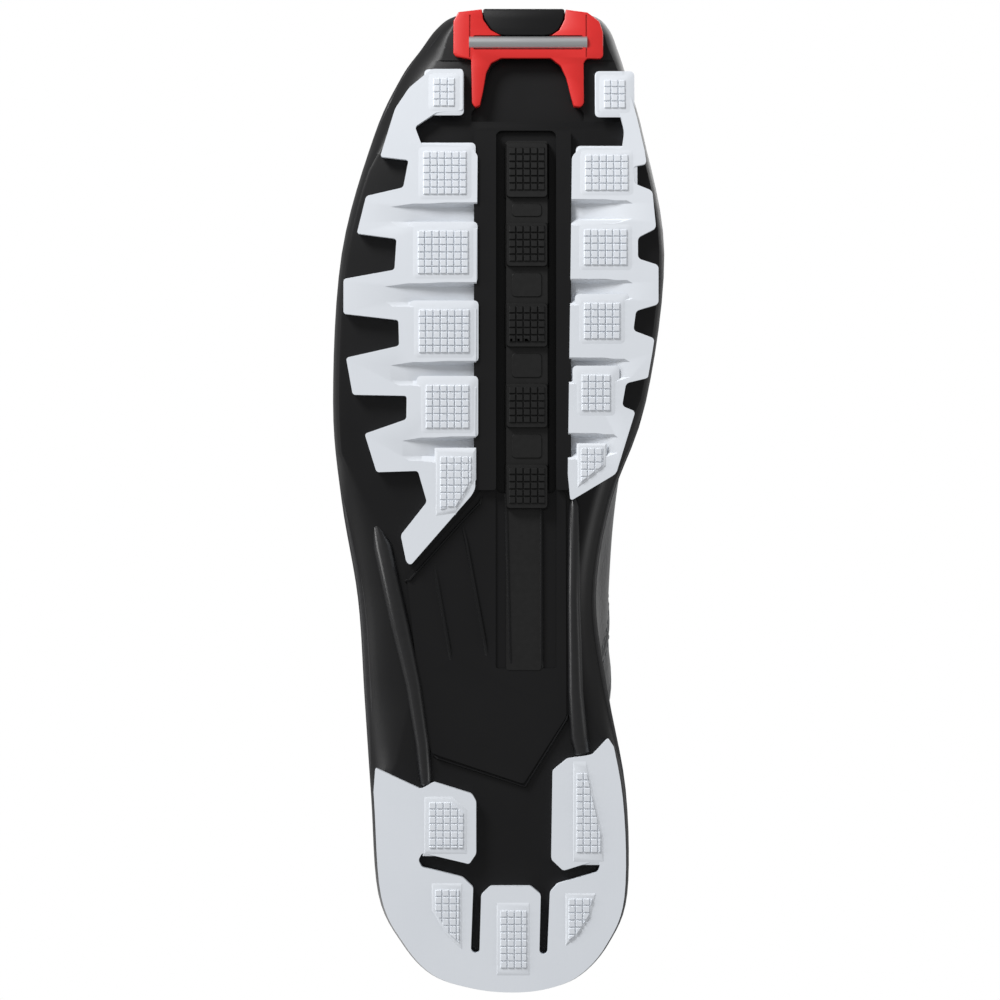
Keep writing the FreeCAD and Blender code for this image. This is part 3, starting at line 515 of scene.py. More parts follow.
def tread(name, outline, pads, patches, cutters, corner):
    """One tread: its outline, hatched blocks and grooves, bent to the sole."""
    body = plate_bm(outline, FACE, TREAD_THICK + SUNK, corner)
    body = carved(body, cutters)
    limit = loft_bm([sole_ring(0.0, EDGE_SHOWN, z) for z in (-3.0, 9.0)])
    body = carved(body, [limit], "INTERSECT")
    for x, y, columns, rows in pads:
        join_bm(body, block_bm(x - PAD_MARGIN, x + columns * TILE + PAD_MARGIN, y - PAD_MARGIN,
                               y + rows * TILE + PAD_MARGIN, PAD_FACE, FACE + 0.3, PAD_FLARE))
        join_bm(body, hatch_bm([(0, columns)] * rows, y, x, PAD_HATCH))
    for patch in patches:
        join_bm(body, pillow_bm(patch, PILLOW_FACE, FACE + 0.2))
        join_bm(body, hatch_patch_bm(patch, PILLOW_HATCH))
    piece(follow_sole(body), name, TREAD_WHITE, soften=0.28)


ROW_GROOVES = (-86.4, -62.2, -38.4, -15.6)
lateral_grooves = [groove_bm(-5.0, fade, centre)
                   for centre, fade in zip(ROW_GROOVES, (-36.0, -38.0, -36.0, -32.0))]
tread("tread_lateral", lateral_outline, lateral_pads,
      [[(-17.9, -13.2), (-8.5, -13.2), (-8.5, -6.0), (-13.2, 2.0), (-17.9, 2.7)]],
      lateral_grooves, 1.0)
medial_grooves = [groove_bm(19.0, fade, centre - 1.0)
                  for centre, fade in zip(ROW_GROOVES, (43.0, 43.0, 42.0, 38.0))]
tread("tread_medial", medial_outline, medial_pads,
      [[(24.6, -15.8), (31.4, -15.8), (31.4, -10.6), (24.6, -5.4)]], medial_grooves, 1.0)
tread("tread_heel", heel_outline, [],
      [[(-21.2, 91.2), (-14.5, 91.2), (-10.9, 94.5), (-10.9, 105.0), (-21.2, 105.0)],
       [(-19.4, 117.6), (-12.1, 117.6), (-12.1, 133.6), (-15.5, 130.5), (-19.4, 124.0)],
       [(0.3, 123.9), (8.2, 123.9), (8.2, 141.4), (0.3, 141.4)],
       [(23.3, 82.4), (26.4, 82.4), (30.6, 101.0), (30.6, 106.6), (23.3, 106.6)],
       [(20.9, 120.3), (28.2, 120.3), (27.0, 125.5), (23.5, 131.0), (20.9, 133.0)]],
      [], 0.9)


# ==== Sole plate, with its lip, lands, rails and waist panel ====================================
# One moulding of black plastic carries everything under the foot. Its underside is flat under the
# treads, has a guide channel along the middle, and curves up to the flanks at the waist.
def slab_bm(x_low, x_high, y_low, y_high, low, high, corner=0.0):
    """A four-sided flat moulding."""
    return plate_bm([(x_low, y_low), (x_high, y_low), (x_high, y_high), (x_low, y_high)],
                    low, high, corner)


def across_path(points, index):
    """The direction square to a path at one of its points."""
    along = points[min(index + 1, len(points) - 1)] - points[max(index - 1, 0)]
    return Vector((-along.y, along.x, 0.0)).normalized()


def rib_bm(path, width, low, high):
    """A narrow raised line with a sloping side, following a path in plan."""
    points = [Vector((x, y, 0.0)) for x, y in path]
    rings = []
    for index, point in enumerate(points):
        side = across_path(points, index) * width / 2
        tall = 0.0 if index in (0, len(points) - 1) else 1.0
        face = high + (low - high) * tall
        rings.append([point - side + Vector((0, 0, high)), point - side * 0.3 + Vector(
            (0, 0, face - 0.01)), point + side * 0.3 + Vector((0, 0, face - 0.01)),
            point + side + Vector((0, 0, high)), point + Vector((0, 0, high + 0.3))])
    return loft_bm(rings)


plate_paint = Paint("sole_black_plastic")
plate_wear = plate_paint.noise(14.0, 5.0, 0.6)
plate_fine = plate_paint.noise(900.0, 2.0)
PLATE_BLACK = plate_paint.finish(
    Base_Color=plate_paint.mix(plate_wear, (0.0045, 0.0045, 0.005, 1), (0.009, 0.009, 0.0095, 1)),
    Roughness=0.34 + plate_wear * 0.14, Specular_IOR_Level=0.22,
    Normal=plate_paint.bump(plate_fine, 0.00004, 0.25))

CHANNEL_LOW, CHANNEL_HIGH = -0.9, 17.3
CHANNEL_FRONT = -112.0
ROOF = 6.0
FLANK_RINGS = [(1.0, 1.2, 4.0), (0.93, 0.6, 4.25), (0.66, 0.25, 5.4), (0.36, 0.1, 7.2),
               (0.12, 0.0, 9.4), (0.0, 0.0, 11.4), (0.0, 1.0, 12.4), (0.0, 4.0, 12.4)]
plate = loft_bm([sole_ring(*flank_ring) for flank_ring in FLANK_RINGS])
lip = plate_bm([(-5.0, -149.9), (20.1, -149.9), (19.6, -146.5), (18.0, -143.3), (16.0, -141.9),
                (13.9, -141.6), (2.1, -141.6), (-0.2, -141.9), (-2.2, -143.3), (-4.4, -146.5)],
               1.6, ROOF, 0.8, 0.5)
lands = [slab_bm(low, high, CHANNEL_FRONT, -3.0, 1.3, ROOF, 0.8)
         for low, high in ((-7.6, CHANNEL_LOW), (CHANNEL_HIGH, 21.8))]
panel = plate_bm([(-4.6, -4.0), (-12.4, 5.6), (-28.0, 23.0), (-24.6, 54.0), (-20.6, 76.6),
                  (7.4, 86.0), (20.4, 65.6), (20.2, -2.0), (17.4, -4.0), (17.4, 51.0),
                  (-1.0, 51.0), (-1.0, -4.0)], 3.4, ROOF, 0.8)
ribs = [rib_bm([(-11.5, 6.4), (-10.0, 12.0), (-4.4, 42.0), (-3.2, 48.5)], 1.6, 2.7, 3.6),
        rib_bm([(-20.0, 18.2), (-18.8, 24.0), (-15.2, 44.0), (-14.2, 49.7)], 1.6, 2.8, 3.6),
        rib_bm([(-4.6, -2.6), (-6.0, 1.0), (-12.0, 7.4), (-27.0, 24.2), (-28.4, 24.8)],
               1.2, 2.6, 3.8),
        rib_bm([(12.6, -3.0), (12.8, 2.0), (12.8, 48.0), (12.8, 51.5)], 1.3, 2.9, 3.6),
        rib_bm([(2.2, -3.0), (2.3, 2.0), (3.4, 48.0), (4.0, 51.5)], 1.3, 2.9, 3.6),
        rib_bm([(-19.7, 77.4), (-18.6, 78.2), (7.9, 86.8), (20.6, 66.3), (20.8, 65.0)],
               0.9, 2.9, 3.8)]
for part in lands + [lip, panel] + ribs:
    join_bm(plate, part)
channel = slab_bm(CHANNEL_LOW, CHANNEL_HIGH, CHANNEL_FRONT - 0.3, -2.0, -1.0, 5.5, 1.8)
hook_room = plate_bm([(0.6, -134.5), (15.8, -134.5), (18.8, -132.0), (20.6, -128.0),
                      (21.6, -122.0), (25.8, -118.0), (25.8, -115.0), (-8.4, -115.0),
                      (-8.4, -118.0), (-5.0, -122.0), (-4.0, -128.0), (-2.4, -132.0)],
                     -1.0, 6.6, 0.6)
front_step = slab_bm(-40.0, 50.0, -134.0, -115.0, 0.0, 4.35)
plate = carved(plate, [channel, hook_room, front_step])
piece(follow_sole(plate), "sole_plate", PLATE_BLACK, soften=0.25, smooth=40)


ARC_STEPS = 8


def rail_bm(path, widths, low, high):
    """A long half-round rail whose width changes along its path."""
    rings = []
    points = [Vector((x, y, 0.0)) for x, y in path]
    for index, (point, width) in enumerate(zip(points, widths)):
        side = across_path(points, index) * width / 2
        ring = []
        for step in range(ARC_STEPS + 1):
            angle = math.pi * step / ARC_STEPS
            ring.append(point + side * math.cos(angle) + Vector(
                (0, 0, high - (high - low) * math.sin(angle) ** 0.6 * min(1, width / 3))))
        rings.append(ring)
    return loft_bm(rings)


rails = rail_bm([(-38.0, 4.5), (-35.2, 14.0), (-29.9, 38.0), (-25.9, 56.0), (-23.2, 74.0),
                 (-22.4, 83.0), (-22.2, 86.0), (-22.1, 87.3)],
                [0.6, 6.0, 6.2, 5.4, 5.0, 4.6, 3.6, 1.2], 1.6, 6.6)
join_bm(rails, rail_bm([(22.6, -3.0), (22.7, 2.0), (22.6, 30.0), (23.2, 58.0), (24.3, 72.0),
                        (25.2, 76.6), (25.6, 78.0)],
                       [0.6, 3.6, 4.2, 5.0, 6.0, 5.0, 1.2], 1.6, 5.6))


def plain(name, dark, light, rough, spread=0.12, grain=120.0, detail=4.0, **more):
    """A material whose tone and polish both follow one noise."""
    paint = Paint(name)
    tone = paint.noise(grain, detail)
    return paint.finish(Base_Color=paint.mix(tone, dark, light), Roughness=rough + tone * spread,
                        **more)


RAIL_BLACK = plain("rail_black_plastic", (0.006, 0.006, 0.0065, 1), (0.010, 0.010, 0.011, 1),
                   0.30, 0.05, 700.0, 2.0)
piece(rails, "sole_rails", RAIL_BLACK, smooth=50, extra=True)


# ==== Centre ridge ==============================================================================
# A strip of grippy black rubber runs down the guide channel: five hatched lugs with shallow
# framed pads between them, and a plain tail that reaches back into the waist.
RIDGE_LEFT, RIDGE_RIGHT = 1.7, 15.2
RIDGE_COLUMNS, HALF_ROW = 5, 1.15
HATCH_LEFT = (RIDGE_LEFT + RIDGE_RIGHT) / 2 - RIDGE_COLUMNS * TILE / 2
LUGS, LUG_PITCH, FIRST_LUG = 5, 24.4, -108.8
ridge = slab_bm(RIDGE_LEFT + 0.5, RIDGE_RIGHT - 0.5, -109.0, -1.0, 2.2, 5.6, 0.8)
tail = slab_bm(2.2, 12.8, -3.0, 51.5, 3.2, 4.6, 0.8)
ridge_hatch = bmesh.new()
for index in range(LUGS):
    first = FIRST_LUG + index * LUG_PITCH
    long_lug = index == 0
    last = first + (17.6 if long_lug else 14.2)
    rows = 6 if long_lug else 5
    join_bm(ridge, block_bm(RIDGE_LEFT + 0.7, RIDGE_RIGHT - 0.7, first + 0.6, last - 0.6,
                            0.75, 5.0, 0.7))
    join_bm(ridge_hatch, hatch_bm([(0, RIDGE_COLUMNS)] * rows, (first + last) / 2 - rows * HALF_ROW,
                                  HATCH_LEFT, 0.78, 0.45))
    if index < LUGS - 1:
        join_bm(ridge, block_bm(4.0, 12.8, last + 1.6, first + LUG_PITCH - 1.6, 1.9, 3.0, 0.5))
join_bm(ridge, tail)
join_bm(ridge, ridge_hatch)
RIDGE_RUBBER = plain("ridge_black_rubber", (0.005, 0.005, 0.005, 1), (0.010, 0.010, 0.010, 1),
                     0.46, 0.1, 600.0, 3.0, Specular_IOR_Level=0.3)
piece(follow_sole(ridge), "centre_ridge", RIDGE_RUBBER, soften=0.18)


# ==== Binding insert and its bar ================================================================
# The binding hooks a 4 mm steel bar held in a red moulded block at the toe. The block has an ear
# to each side, a scoop in front, and two legs either side of the room for the hook.
insert_outline = [
    (-12.4, -148.9), (-5.2, -149.8), (-4.8, -146.5), (-2.6, -143.3), (0.3, -141.7),
    (2.1, -141.4), (13.9, -141.4), (16.1, -141.7), (18.4, -143.3), (20.0, -146.5),
    (20.3, -149.7), (27.0, -148.8), (30.6, -146.0), (31.7, -142.6), (31.7, -135.2),
    (30.9, -134.4), (26.8, -134.4), (25.8, -133.2), (25.8, -120.6), (24.9, -119.4),
    (22.8, -119.6), (22.0, -122.1), (20.5, -128.3), (18.8, -132.1), (15.8, -134.5),
    (0.6, -134.5), (-2.4, -133.0), (-3.9, -130.0), (-4.8, -124.5), (-5.8, -119.9),
    (-7.3, -119.3), (-8.2, -120.6), (-8.5, -134.2), (-13.1, -135.1), (-13.9, -136.0),
    (-13.9, -146.0)]
insert = plate_bm(insert_outline, 1.8, 9.0, 0.35, 0.5)
insert_cut = slab_bm(-7.9, 25.6, -141.6, -137.2, 0.0, 5.6, 0.6)
ear_lines = [slab_bm(x - 0.2, x + 0.2, -148.0, -134.8, 1.0, 2.3) for x in (-8.9, 26.6)]
insert = carved(insert, [insert_cut] + ear_lines)
insert_paint = Paint("insert_red")
insert_tone = insert_paint.noise(40.0, 3.0)
insert_fine = insert_paint.noise(1100.0, 2.0)
INSERT_RED = insert_paint.finish(
    Base_Color=insert_paint.mix(insert_tone, (0.60, 0.014, 0.013, 1), (0.69, 0.021, 0.018, 1)),
    Roughness=0.30 + insert_tone * 0.12, Normal=insert_paint.bump(insert_fine, 0.00004, 0.3))
piece(follow_sole(insert), "toe_block", INSERT_RED, soften=0.35)


def rod_bm(centre, radius, length, segments):
    """A round rod that lies across the boot."""
    bm = bmesh.new()
    bmesh.ops.create_cone(
        bm, cap_ends=True, segments=segments, radius1=radius, radius2=radius, depth=length,
        matrix=Matrix.Translation(centre) @ Matrix.Rotation(math.pi / 2, 4, "Y"))
    return bm


BAR_RADIUS, BAR_LENGTH = 2.05, 36.0
BAR_X, BAR_Y, BAR_HEIGHT = 8.85, -139.3, 2.9
bar = rod_bm((BAR_X, BAR_Y, BAR_HEIGHT + rise(BAR_Y)), BAR_RADIUS, BAR_LENGTH, 40)
steel_paint = Paint("bar_steel")
steel_lines = steel_paint.noise(1.0, 3.0, 0.6, steel_paint.scaled((30.0, 2500.0, 2500.0)))
BAR_STEEL = steel_paint.finish(
    Base_Color=steel_paint.mix(steel_lines, (0.42, 0.43, 0.44, 1), (0.66, 0.67, 0.68, 1)),
    Metallic=0.85, Roughness=0.28 + steel_lines * 0.16,
    Normal=steel_paint.bump(steel_lines, 0.00003, 0.4))
piece(bar, "binding_bar", BAR_STEEL)


# ==== Rand, caps and shell: the outside of the upper ============================================
# A soft fabric shell is wrapped by a rubber rand at the sole, a scuff cap over the toes and a
# moulded cup round the heel. The caps and rand are bonded on top of the shell with stitched rims.
RINGS = [
    (-147.0, 4.0, 147.0, 4.0, 0.95, 0.0), (-147.4, 27.0, 148.0, 38.0, 0.955, 0.0),
    (-142.0, 43.5, 147.0, 60.0, 0.92, 0.10), (-121.0, 56.0, 144.0, 80.0, 0.86, 0.28),
    (-92.0, 66.5, 139.5, 98.0, 0.80, 0.50), (-62.0, 81.0, 136.5, 114.0, 0.76, 0.75),
    (-23.5, 109.0, 134.5, 133.0, 0.74, 1.0), (15.0, 137.0, 135.0, 152.0, 0.77, 1.0),
    (34.0, 158.0, 136.0, 170.0, 0.79, 1.0)]
CUFF_RING = len(RINGS) - 1
ANKLE_HALF = 50.0
ARCH_HOLLOW, ARCH_PLACE, ARCH_SPAN = 6.0, 0.56, 0.13
ring_store = {}


def ring_at(v):
    """The points round the last at height v, counted in rings from sole to cuff."""
    v = round(min(max(v, 0.0), CUFF_RING), 4)
    if v not in ring_store:
        base = min(int(v), CUFF_RING - 1)
        rows = [RINGS[min(max(base + step, 0), CUFF_RING)] for step in (-1, 0, 1, 2)]
        front_y, front_z, back_y, back_z, width, oval = (
            blend(*column, v - base) for column in zip(*rows))
        ring = []
        for index, (f, x) in enumerate(LAST):
            side = 0 if index in (0, HEEL) else (1 if index < HEEL else -1)
            leg = 1.0 + side * ANKLE_HALF * width * math.sqrt(1 - (2 * f - 1) ** 2) ** 0.9
            if side > 0:
                leg -= ARCH_HOLLOW * math.exp(-((f - ARCH_PLACE) / ARCH_SPAN) ** 2)
            ring.append(Vector(((1 - oval) * x * width + oval * leg,
                                front_y + (back_y - front_y) * f,
                                front_z + (back_z - front_z) * f)))
        ring_store[v] = ring
    return ring_store[v]


NEARBY = 0.08


def skin(t, v, out):
    """A point of the upper: t goes round from the toe by the inner side, `out` is off it."""
    here = curve(ring_at(v), t)
    if out:
        around = curve(ring_at(v), t + NEARBY) - curve(ring_at(v), t - NEARBY)
        up = curve(ring_at(v + NEARBY), t) - curve(ring_at(v - NEARBY), t)
        here += around.cross(up).normalized() * out
    return here


def round_off(share, length, rim):
    """0 at the edge of a patch and 1 inside it, along a quarter circle `rim` wide."""
    reach = min(1.0, min(share, 1 - share) * length / rim)
    return math.sqrt(1 - (1 - reach) ** 2)


EDGE_STEPS = [0.0, 0.006, 0.018, 0.04]


def steps(count):
    """Even steps from 0 to 1 with finer ones near both ends."""
    inner = [index / count for index in range(1, count)]
    return EDGE_STEPS + inner + [1 - step for step in reversed(EDGE_STEPS)]


def patch_bm(at, rows, columns, wrap=False):
    """A thin closed panel on the upper; at(s, r) gives (t, v, outside, inside)."""
    bm = bmesh.new()
    across = [index / columns for index in range(columns)] if wrap else steps(columns)
    spots = [[at(s, r) for s in across] for r in steps(rows)]
    grids = [[[bm.verts.new(skin(spot[0], spot[1], spot[side])) for spot in row]
              for row in spots] for side in (2, 3)]
    span = len(across) if wrap else len(across) - 1
    for grid, flip in zip(grids, (False, True)):
        for low, high in zip(grid, grid[1:]):
            for index in range(span):
                after = (index + 1) % len(across)
                quad = [low[index], low[after], high[after], high[index]]
                bm.faces.new(quad[::-1] if flip else quad)
    outer, inner = grids
    for row, flip in ((0, False), (-1, True)):
        for index in range(span):
            after = (index + 1) % len(across)
            quad = [inner[row][index], inner[row][after], outer[row][after], outer[row][index]]
            bm.faces.new(quad[::-1] if flip else quad)
    if not wrap:
        for column, flip in ((0, True), (-1, False)):
            for low, high in zip(range(len(outer) - 1), range(1, len(outer))):
                quad = [inner[low][column], inner[high][column],
                        outer[high][column], outer[low][column]]
                bm.faces.new(quad[::-1] if flip else quad)
    bmesh.ops.recalc_face_normals(bm, faces=bm.faces)
    return bm


def from_toe(t):
    """How far round from the toe t is, whichever way is shorter."""
    return abs((t + HEEL) % COUNT - HEEL)


def rand_top(t):
    """The height of the rand's upper edge."""
    return ramp(from_toe(t), [(0, 1.42), (4, 1.20), (7, 0.80), (10, 0.72), (13, 0.80),
                              (17, 1.04)])


def fabric(name, dark, light, weave=1500.0, rough=0.72, depth=0.0001):
    """A woven cloth: two crossed sets of threads, with slow changes of tone."""
    paint = Paint(name)
    warp = paint.noise(1.0, 1.0, 0.4, paint.scaled((weave, weave * 0.25, weave * 0.25)))
    weft = paint.noise(1.0, 1.0, 0.4, paint.scaled((weave * 0.25, weave, weave)))
    thread = paint.between(warp + weft, 0.75, 1.25)
    tone = paint.noise(35.0, 4.0)
    return paint.finish(Base_Color=paint.mix(thread * 0.6 + tone * 0.4, dark, light),
                        Roughness=rough + tone * 0.15, Sheen_Weight=0.35,
                        Normal=paint.bump(thread, depth, 0.6))


SHELL_CLOTH = fabric("shell_softshell", (0.007, 0.0075, 0.009, 1), (0.022, 0.023, 0.026, 1))
SHELL_FOOT, SHELL_RISE = 0.55, 6.42
CUFF_SEAM = 6.05
QUARTER_TOP, QUARTER_END = 4.6, 5.2
SEAM_RAISED = 0.5


def quarter_seam(v):
    """Where the seam between vamp and quarter crosses height v."""
    if v >= QUARTER_TOP:
        return QUARTER_END
    return QUARTER_END + 2.6 * ((QUARTER_TOP - v) / 3.6) ** 1.5


def shell_at(s, r):
    """The shell, with a raised line along each of its seams."""
    t, v = COUNT * s, SHELL_FOOT + SHELL_RISE * r
    seam = max(0.0, 1 - abs(v - CUFF_SEAM) / 0.09)
    if v < QUARTER_TOP:
        seam = max(seam, 1 - abs(min(t, COUNT - t) - quarter_seam(v)) / 0.16)
    return t, v, SEAM_RAISED * math.sqrt(seam), -2.0


piece(patch_bm(shell_at, 140, 340, True), "upper_shell", SHELL_CLOTH, smooth=60)


def rand_foot(t):
    """The rand's lower edge, which climbs with the plate at the toe."""
    return ramp(from_toe(t), [(0, 0.74), (3, 0.72), (4, 0.63), (5, 0.55), (6, 0.41),
                              (7, 0.27), (8, 0.24)])


def rand_at(s, r):
    """The rand, all the way round, from its lower to its upper edge."""
    t = COUNT * s
    low, top = rand_foot(t), rand_top(t)
    return t, low + (top - low) * r, 1.9 * round_off(r, 26.0, 1.6) - 0.02, -0.3


rand_paint = Paint("rand_rubber")
rand_ribs = rand_paint.node("ShaderNodeTexWave", {"bands_direction": "Z"}, {
    "Vector": rand_paint.place, "Scale": 130.0, "Distortion": 0.3, "Detail": 1.0})
rand_low = rand_paint.node("ShaderNodeSeparateXYZ", {}, {"Vector": rand_paint.place}, 2)
rand_band = rand_paint.between(rand_low, 0.020, 0.018)
rand_fine = rand_paint.noise(700.0, 2.0)
RAND_RUBBER = rand_paint.finish(
    Base_Color=rand_paint.mix(rand_fine, (0.010, 0.010, 0.011, 1), (0.020, 0.020, 0.022, 1)),
    Roughness=0.40 + rand_fine * 0.12,
    Normal=rand_paint.bump(rand_ribs * rand_band * 0.7 + rand_fine * 0.3, 0.0003, 0.5))
piece(patch_bm(rand_at, 10, 170, True), "rand", RAND_RUBBER, smooth=50)


CAP_THICK = 1.8


def cap_at(centre, reach, crown):
    """A cap that meets the rand, centred on the toe or the heel and highest in its middle."""
    def at(s, r):
        t = centre + reach * (2 * s - 1)
        low = rand_top(t) - 0.05
        high = low + 0.08 + (crown - low) * max(0.0, 1 - abs(2 * s - 1) ** 2.4) ** 0.62
        rim = min(round_off(r, 30.0, 1.3), round_off(s, 90.0, 1.3))
        return t, low + (high - low) * r, CAP_THICK * rim - 0.02, -0.3
    return at


cap_paint = Paint("cap_grip_film")
cap_cells = cap_paint.node("ShaderNodeTexVoronoi", {"feature": "DISTANCE_TO_EDGE"},
                           {"Vector": cap_paint.place, "Scale": 420.0})
cap_tone = cap_paint.noise(30.0, 4.0)
CAP_FILM = cap_paint.finish(
    Base_Color=cap_paint.mix(cap_tone, (0.014, 0.014, 0.015, 1), (0.030, 0.030, 0.032, 1)),
    Roughness=0.42 + cap_tone * 0.16,
    Normal=cap_paint.bump(cap_paint.between(cap_cells, 0.0, 0.12), 0.00025, 0.5))
toe_cap_at = cap_at(0.0, 5.9, 3.0)
heel_cap_at = cap_at(HEEL, 5.2, 3.9)
piece(patch_bm(toe_cap_at, 22, 60), "toe_cap", CAP_FILM, smooth=50)
piece(patch_bm(heel_cap_at, 24, 50), "heel_cap", CAP_FILM, smooth=50)

STITCH_PITCH, STITCH_THICK = 2.6, 0.32


def stitch_bm(line, out):
    """Stitches along a line of (t, v) points on the upper: small flattened capsules."""
    bm = bmesh.new()
    spots = [skin(t, v, out) for t, v in line]
    walked = 0.0
    for here, there in zip(spots, spots[1:]):
        walked += (there - here).length
        if walked < STITCH_PITCH:
            continue
        walked = 0.0
        turn = (there - here).to_track_quat("X", "Z").to_matrix().to_4x4()
        size = Matrix.Diagonal((STITCH_PITCH * 0.36, STITCH_THICK, STITCH_THICK, 1.0))
        bmesh.ops.create_icosphere(bm, subdivisions=1, radius=1.0,
                                   matrix=Matrix.Translation((here + there) / 2) @ turn @ size)
    return bm


RIM_STEPS = 360


def rim_line(at, inset):
    """The line just inside the upper rim of a cap."""
    return [at(0.5 + (index / RIM_STEPS - 0.5) * 0.96, 1 - inset)[:2]
            for index in range(RIM_STEPS + 1)]


stitches = bmesh.new()
for at, inset in ((toe_cap_at, 0.035), (toe_cap_at, 0.075), (heel_cap_at, 0.04)):
    join_bm(stitches, stitch_bm(rim_line(at, inset), 1.85))
SEAM_STEPS = 700
SEAM_OUT = 0.12
for offset in (-0.14, 0.14):
    join_bm(stitches, stitch_bm([(6.2 + 21.6 * index / SEAM_STEPS, CUFF_SEAM + offset)
                                 for index in range(SEAM_STEPS)], SEAM_OUT))
for side in (-1, 1):
    seam_line = [0.82 + 3.68 * index / SEAM_STEPS for index in range(SEAM_STEPS)]
    join_bm(stitches, stitch_bm([(side * (quarter_seam(v) + 0.28), v) for v in seam_line],
                                SEAM_OUT))
THREAD = plain("thread", (0.16, 0.17, 0.18, 1), (0.26, 0.27, 0.28, 1), 0.6, 0.1, 800.0, 2.0)
piece(stitches, "cap_stitches", THREAD, smooth=60, extra=True)


# ==== Lace cover, eyestays and tongue ===========================================================
# A softshell flap covers the laces from the vamp to the ankle, split by the zip. Under it lie the
# two eyestays of welded film and the padded tongue, which stands a little above the collar.
COVER_FOOT, COVER_RISE = 4.30, 2.78


def cover_at(s, r):
    """The cover, narrow at its lower tip and wide at the ankle."""
    v = COVER_FOOT + COVER_RISE * r
    half = ramp(r, [(0.0, 2.2), (0.06, 3.6), (0.16, 4.5), (0.4, 5.2), (0.75, 5.7), (1.0, 5.9)])
    rim = min(round_off(r, 110.0, 1.5), round_off(s, 80.0, 1.5))
    return half * (2 * s - 1), v, 0.2 + 3.2 * rim, 0.1 + 1.5 * max(0.0, rim - 0.2)


COVER_CLOTH = fabric("cover_softshell", (0.011, 0.012, 0.014, 1), (0.036, 0.038, 0.042, 1),
                     1100.0, 0.66)


EYESTAY_FOOT, EYESTAY_RISE = 4.72, 2.2
EYESTAY_INNER, EYESTAY_WIDTH = 1.7, 1.7


def eyestay_at(side):
    """A strip of film down one side of the lacing."""
    def at(s, r):
        return (side * (EYESTAY_INNER + EYESTAY_WIDTH * s), EYESTAY_FOOT + EYESTAY_RISE * r,
                1.4, -0.2)
    return at


EYESTAY = plain("eyestay_film", (0.02, 0.02, 0.02, 1), (0.04, 0.04, 0.04, 1), 0.45, 0.1, 200.0,
                3.0)
for side, word in ((-1, "lateral"), (1, "medial")):
    piece(patch_bm(eyestay_at(side), 30, 8), "eyestay_" + word, EYESTAY, smooth=60)
cover = piece(patch_bm(cover_at, 50, 54), "lace_cover", COVER_CLOTH, smooth=60)
COVER_FACE = 3.5
COVER_STEPS, TIP_STEPS = 500, 260
cover_line = [cover_at(0.03, index / COVER_STEPS)[:2] for index in range(20, 490)]
cover_seams = stitch_bm(cover_line, COVER_FACE)
join_bm(cover_seams, stitch_bm([(-t, v) for t, v in cover_line], COVER_FACE))
join_bm(cover_seams, stitch_bm([cover_at(0.06 + 0.88 * index / TIP_STEPS, 0.028)[:2]
                                for index in range(TIP_STEPS)], COVER_FACE))
piece(cover_seams, "cover_stitches", THREAD, smooth=60, extra=True)


TONGUE_FOOT, TONGUE_RISE = 4.9, 2.62


def tongue_at(s, r):
    """The tongue, with quilting across it and a rounded top."""
    v = TONGUE_FOOT + TONGUE_RISE * r
    half = ramp(r, [(0.0, 4.0), (0.85, 4.6), (0.94, 4.3), (0.98, 3.4), (1.0, 2.2)])
    rim = min(round_off(r, 110.0, 3.0), round_off(s, 54.0, 3.0))
    quilt = 0.5 * abs(math.sin(r * 24.0)) ** 0.5
    return half * (2 * s - 1), v, -7.4 + (2.0 + quilt) * rim, -7.6 - 2.2 * rim


TONGUE_CLOTH = fabric("tongue_knit", (0.020, 0.021, 0.023, 1), (0.075, 0.077, 0.082, 1), 900.0)
tongue = piece(patch_bm(tongue_at, 60, 40), "tongue", TONGUE_CLOTH, smooth=60)


# ==== Collar, lining and footbed ================================================================
# The rim is a soft foam roll with a quilted inner face. Fleece lines the inside down to a felt
# footbed that lies on the stiff board.
COLLAR_CUT = [(6.86, 0.35), (7.02, 0.2), (7.12, -1.6), (7.19, -3.6), (7.17, -5.6),
              (7.08, -7.2), (6.95, -8.2), (6.83, -7.9), (6.76, -6.9), (6.69, -7.8),
              (6.56, -8.8), (6.40, -9.0), (6.26, -8.4), (6.17, -7.2), (6.10, -7.9),
              (5.98, -8.2), (5.85, -7.4), (5.78, -5.6), (5.76, -3.6), (5.84, -2.4),
              (6.2, -2.3), (6.6, -2.2)]
COLLAR_STEPS = 110
COLLAR_END = 3.6
collar_rings = []
for index in range(COLLAR_STEPS + 1):
    share = index / COLLAR_STEPS
    t = COLLAR_END + (COUNT - 2 * COLLAR_END) * share
    swell = 0.35 + 0.65 * math.sin(math.pi * share) ** 0.35
    crease = 1 + 0.04 * math.sin(index * 0.9) * math.sin(index * 0.23)
    collar_rings.append([skin(t, v, out * swell * crease if out < -2.5 else out)
                         for v, out in COLLAR_CUT])
COLLAR_CLOTH = fabric("collar_knit", (0.018, 0.019, 0.021, 1), (0.060, 0.062, 0.066, 1), 1000.0)
collar = piece(loft_bm(collar_rings), "collar_pad", COLLAR_CLOTH, smooth=70)


LINING_FOOT, LINING_RISE = 0.62, 5.9


def lining_at(s, r):
    """The lining, all the way round just inside the shell."""
    return COUNT * s, LINING_FOOT + LINING_RISE * r, -2.1, -4.4


FLEECE = fabric("lining_fleece", (0.06, 0.062, 0.066, 1), (0.14, 0.145, 0.15, 1), 700.0, 0.8,
                0.0003)
piece(patch_bm(lining_at, 40, 136, True), "lining", FLEECE, smooth=60)
MIDSOLE_TOP, HEEL_LIFT = 14.0, 10.0
LIFT_START, LIFT_RUN = -25.0, 70.0


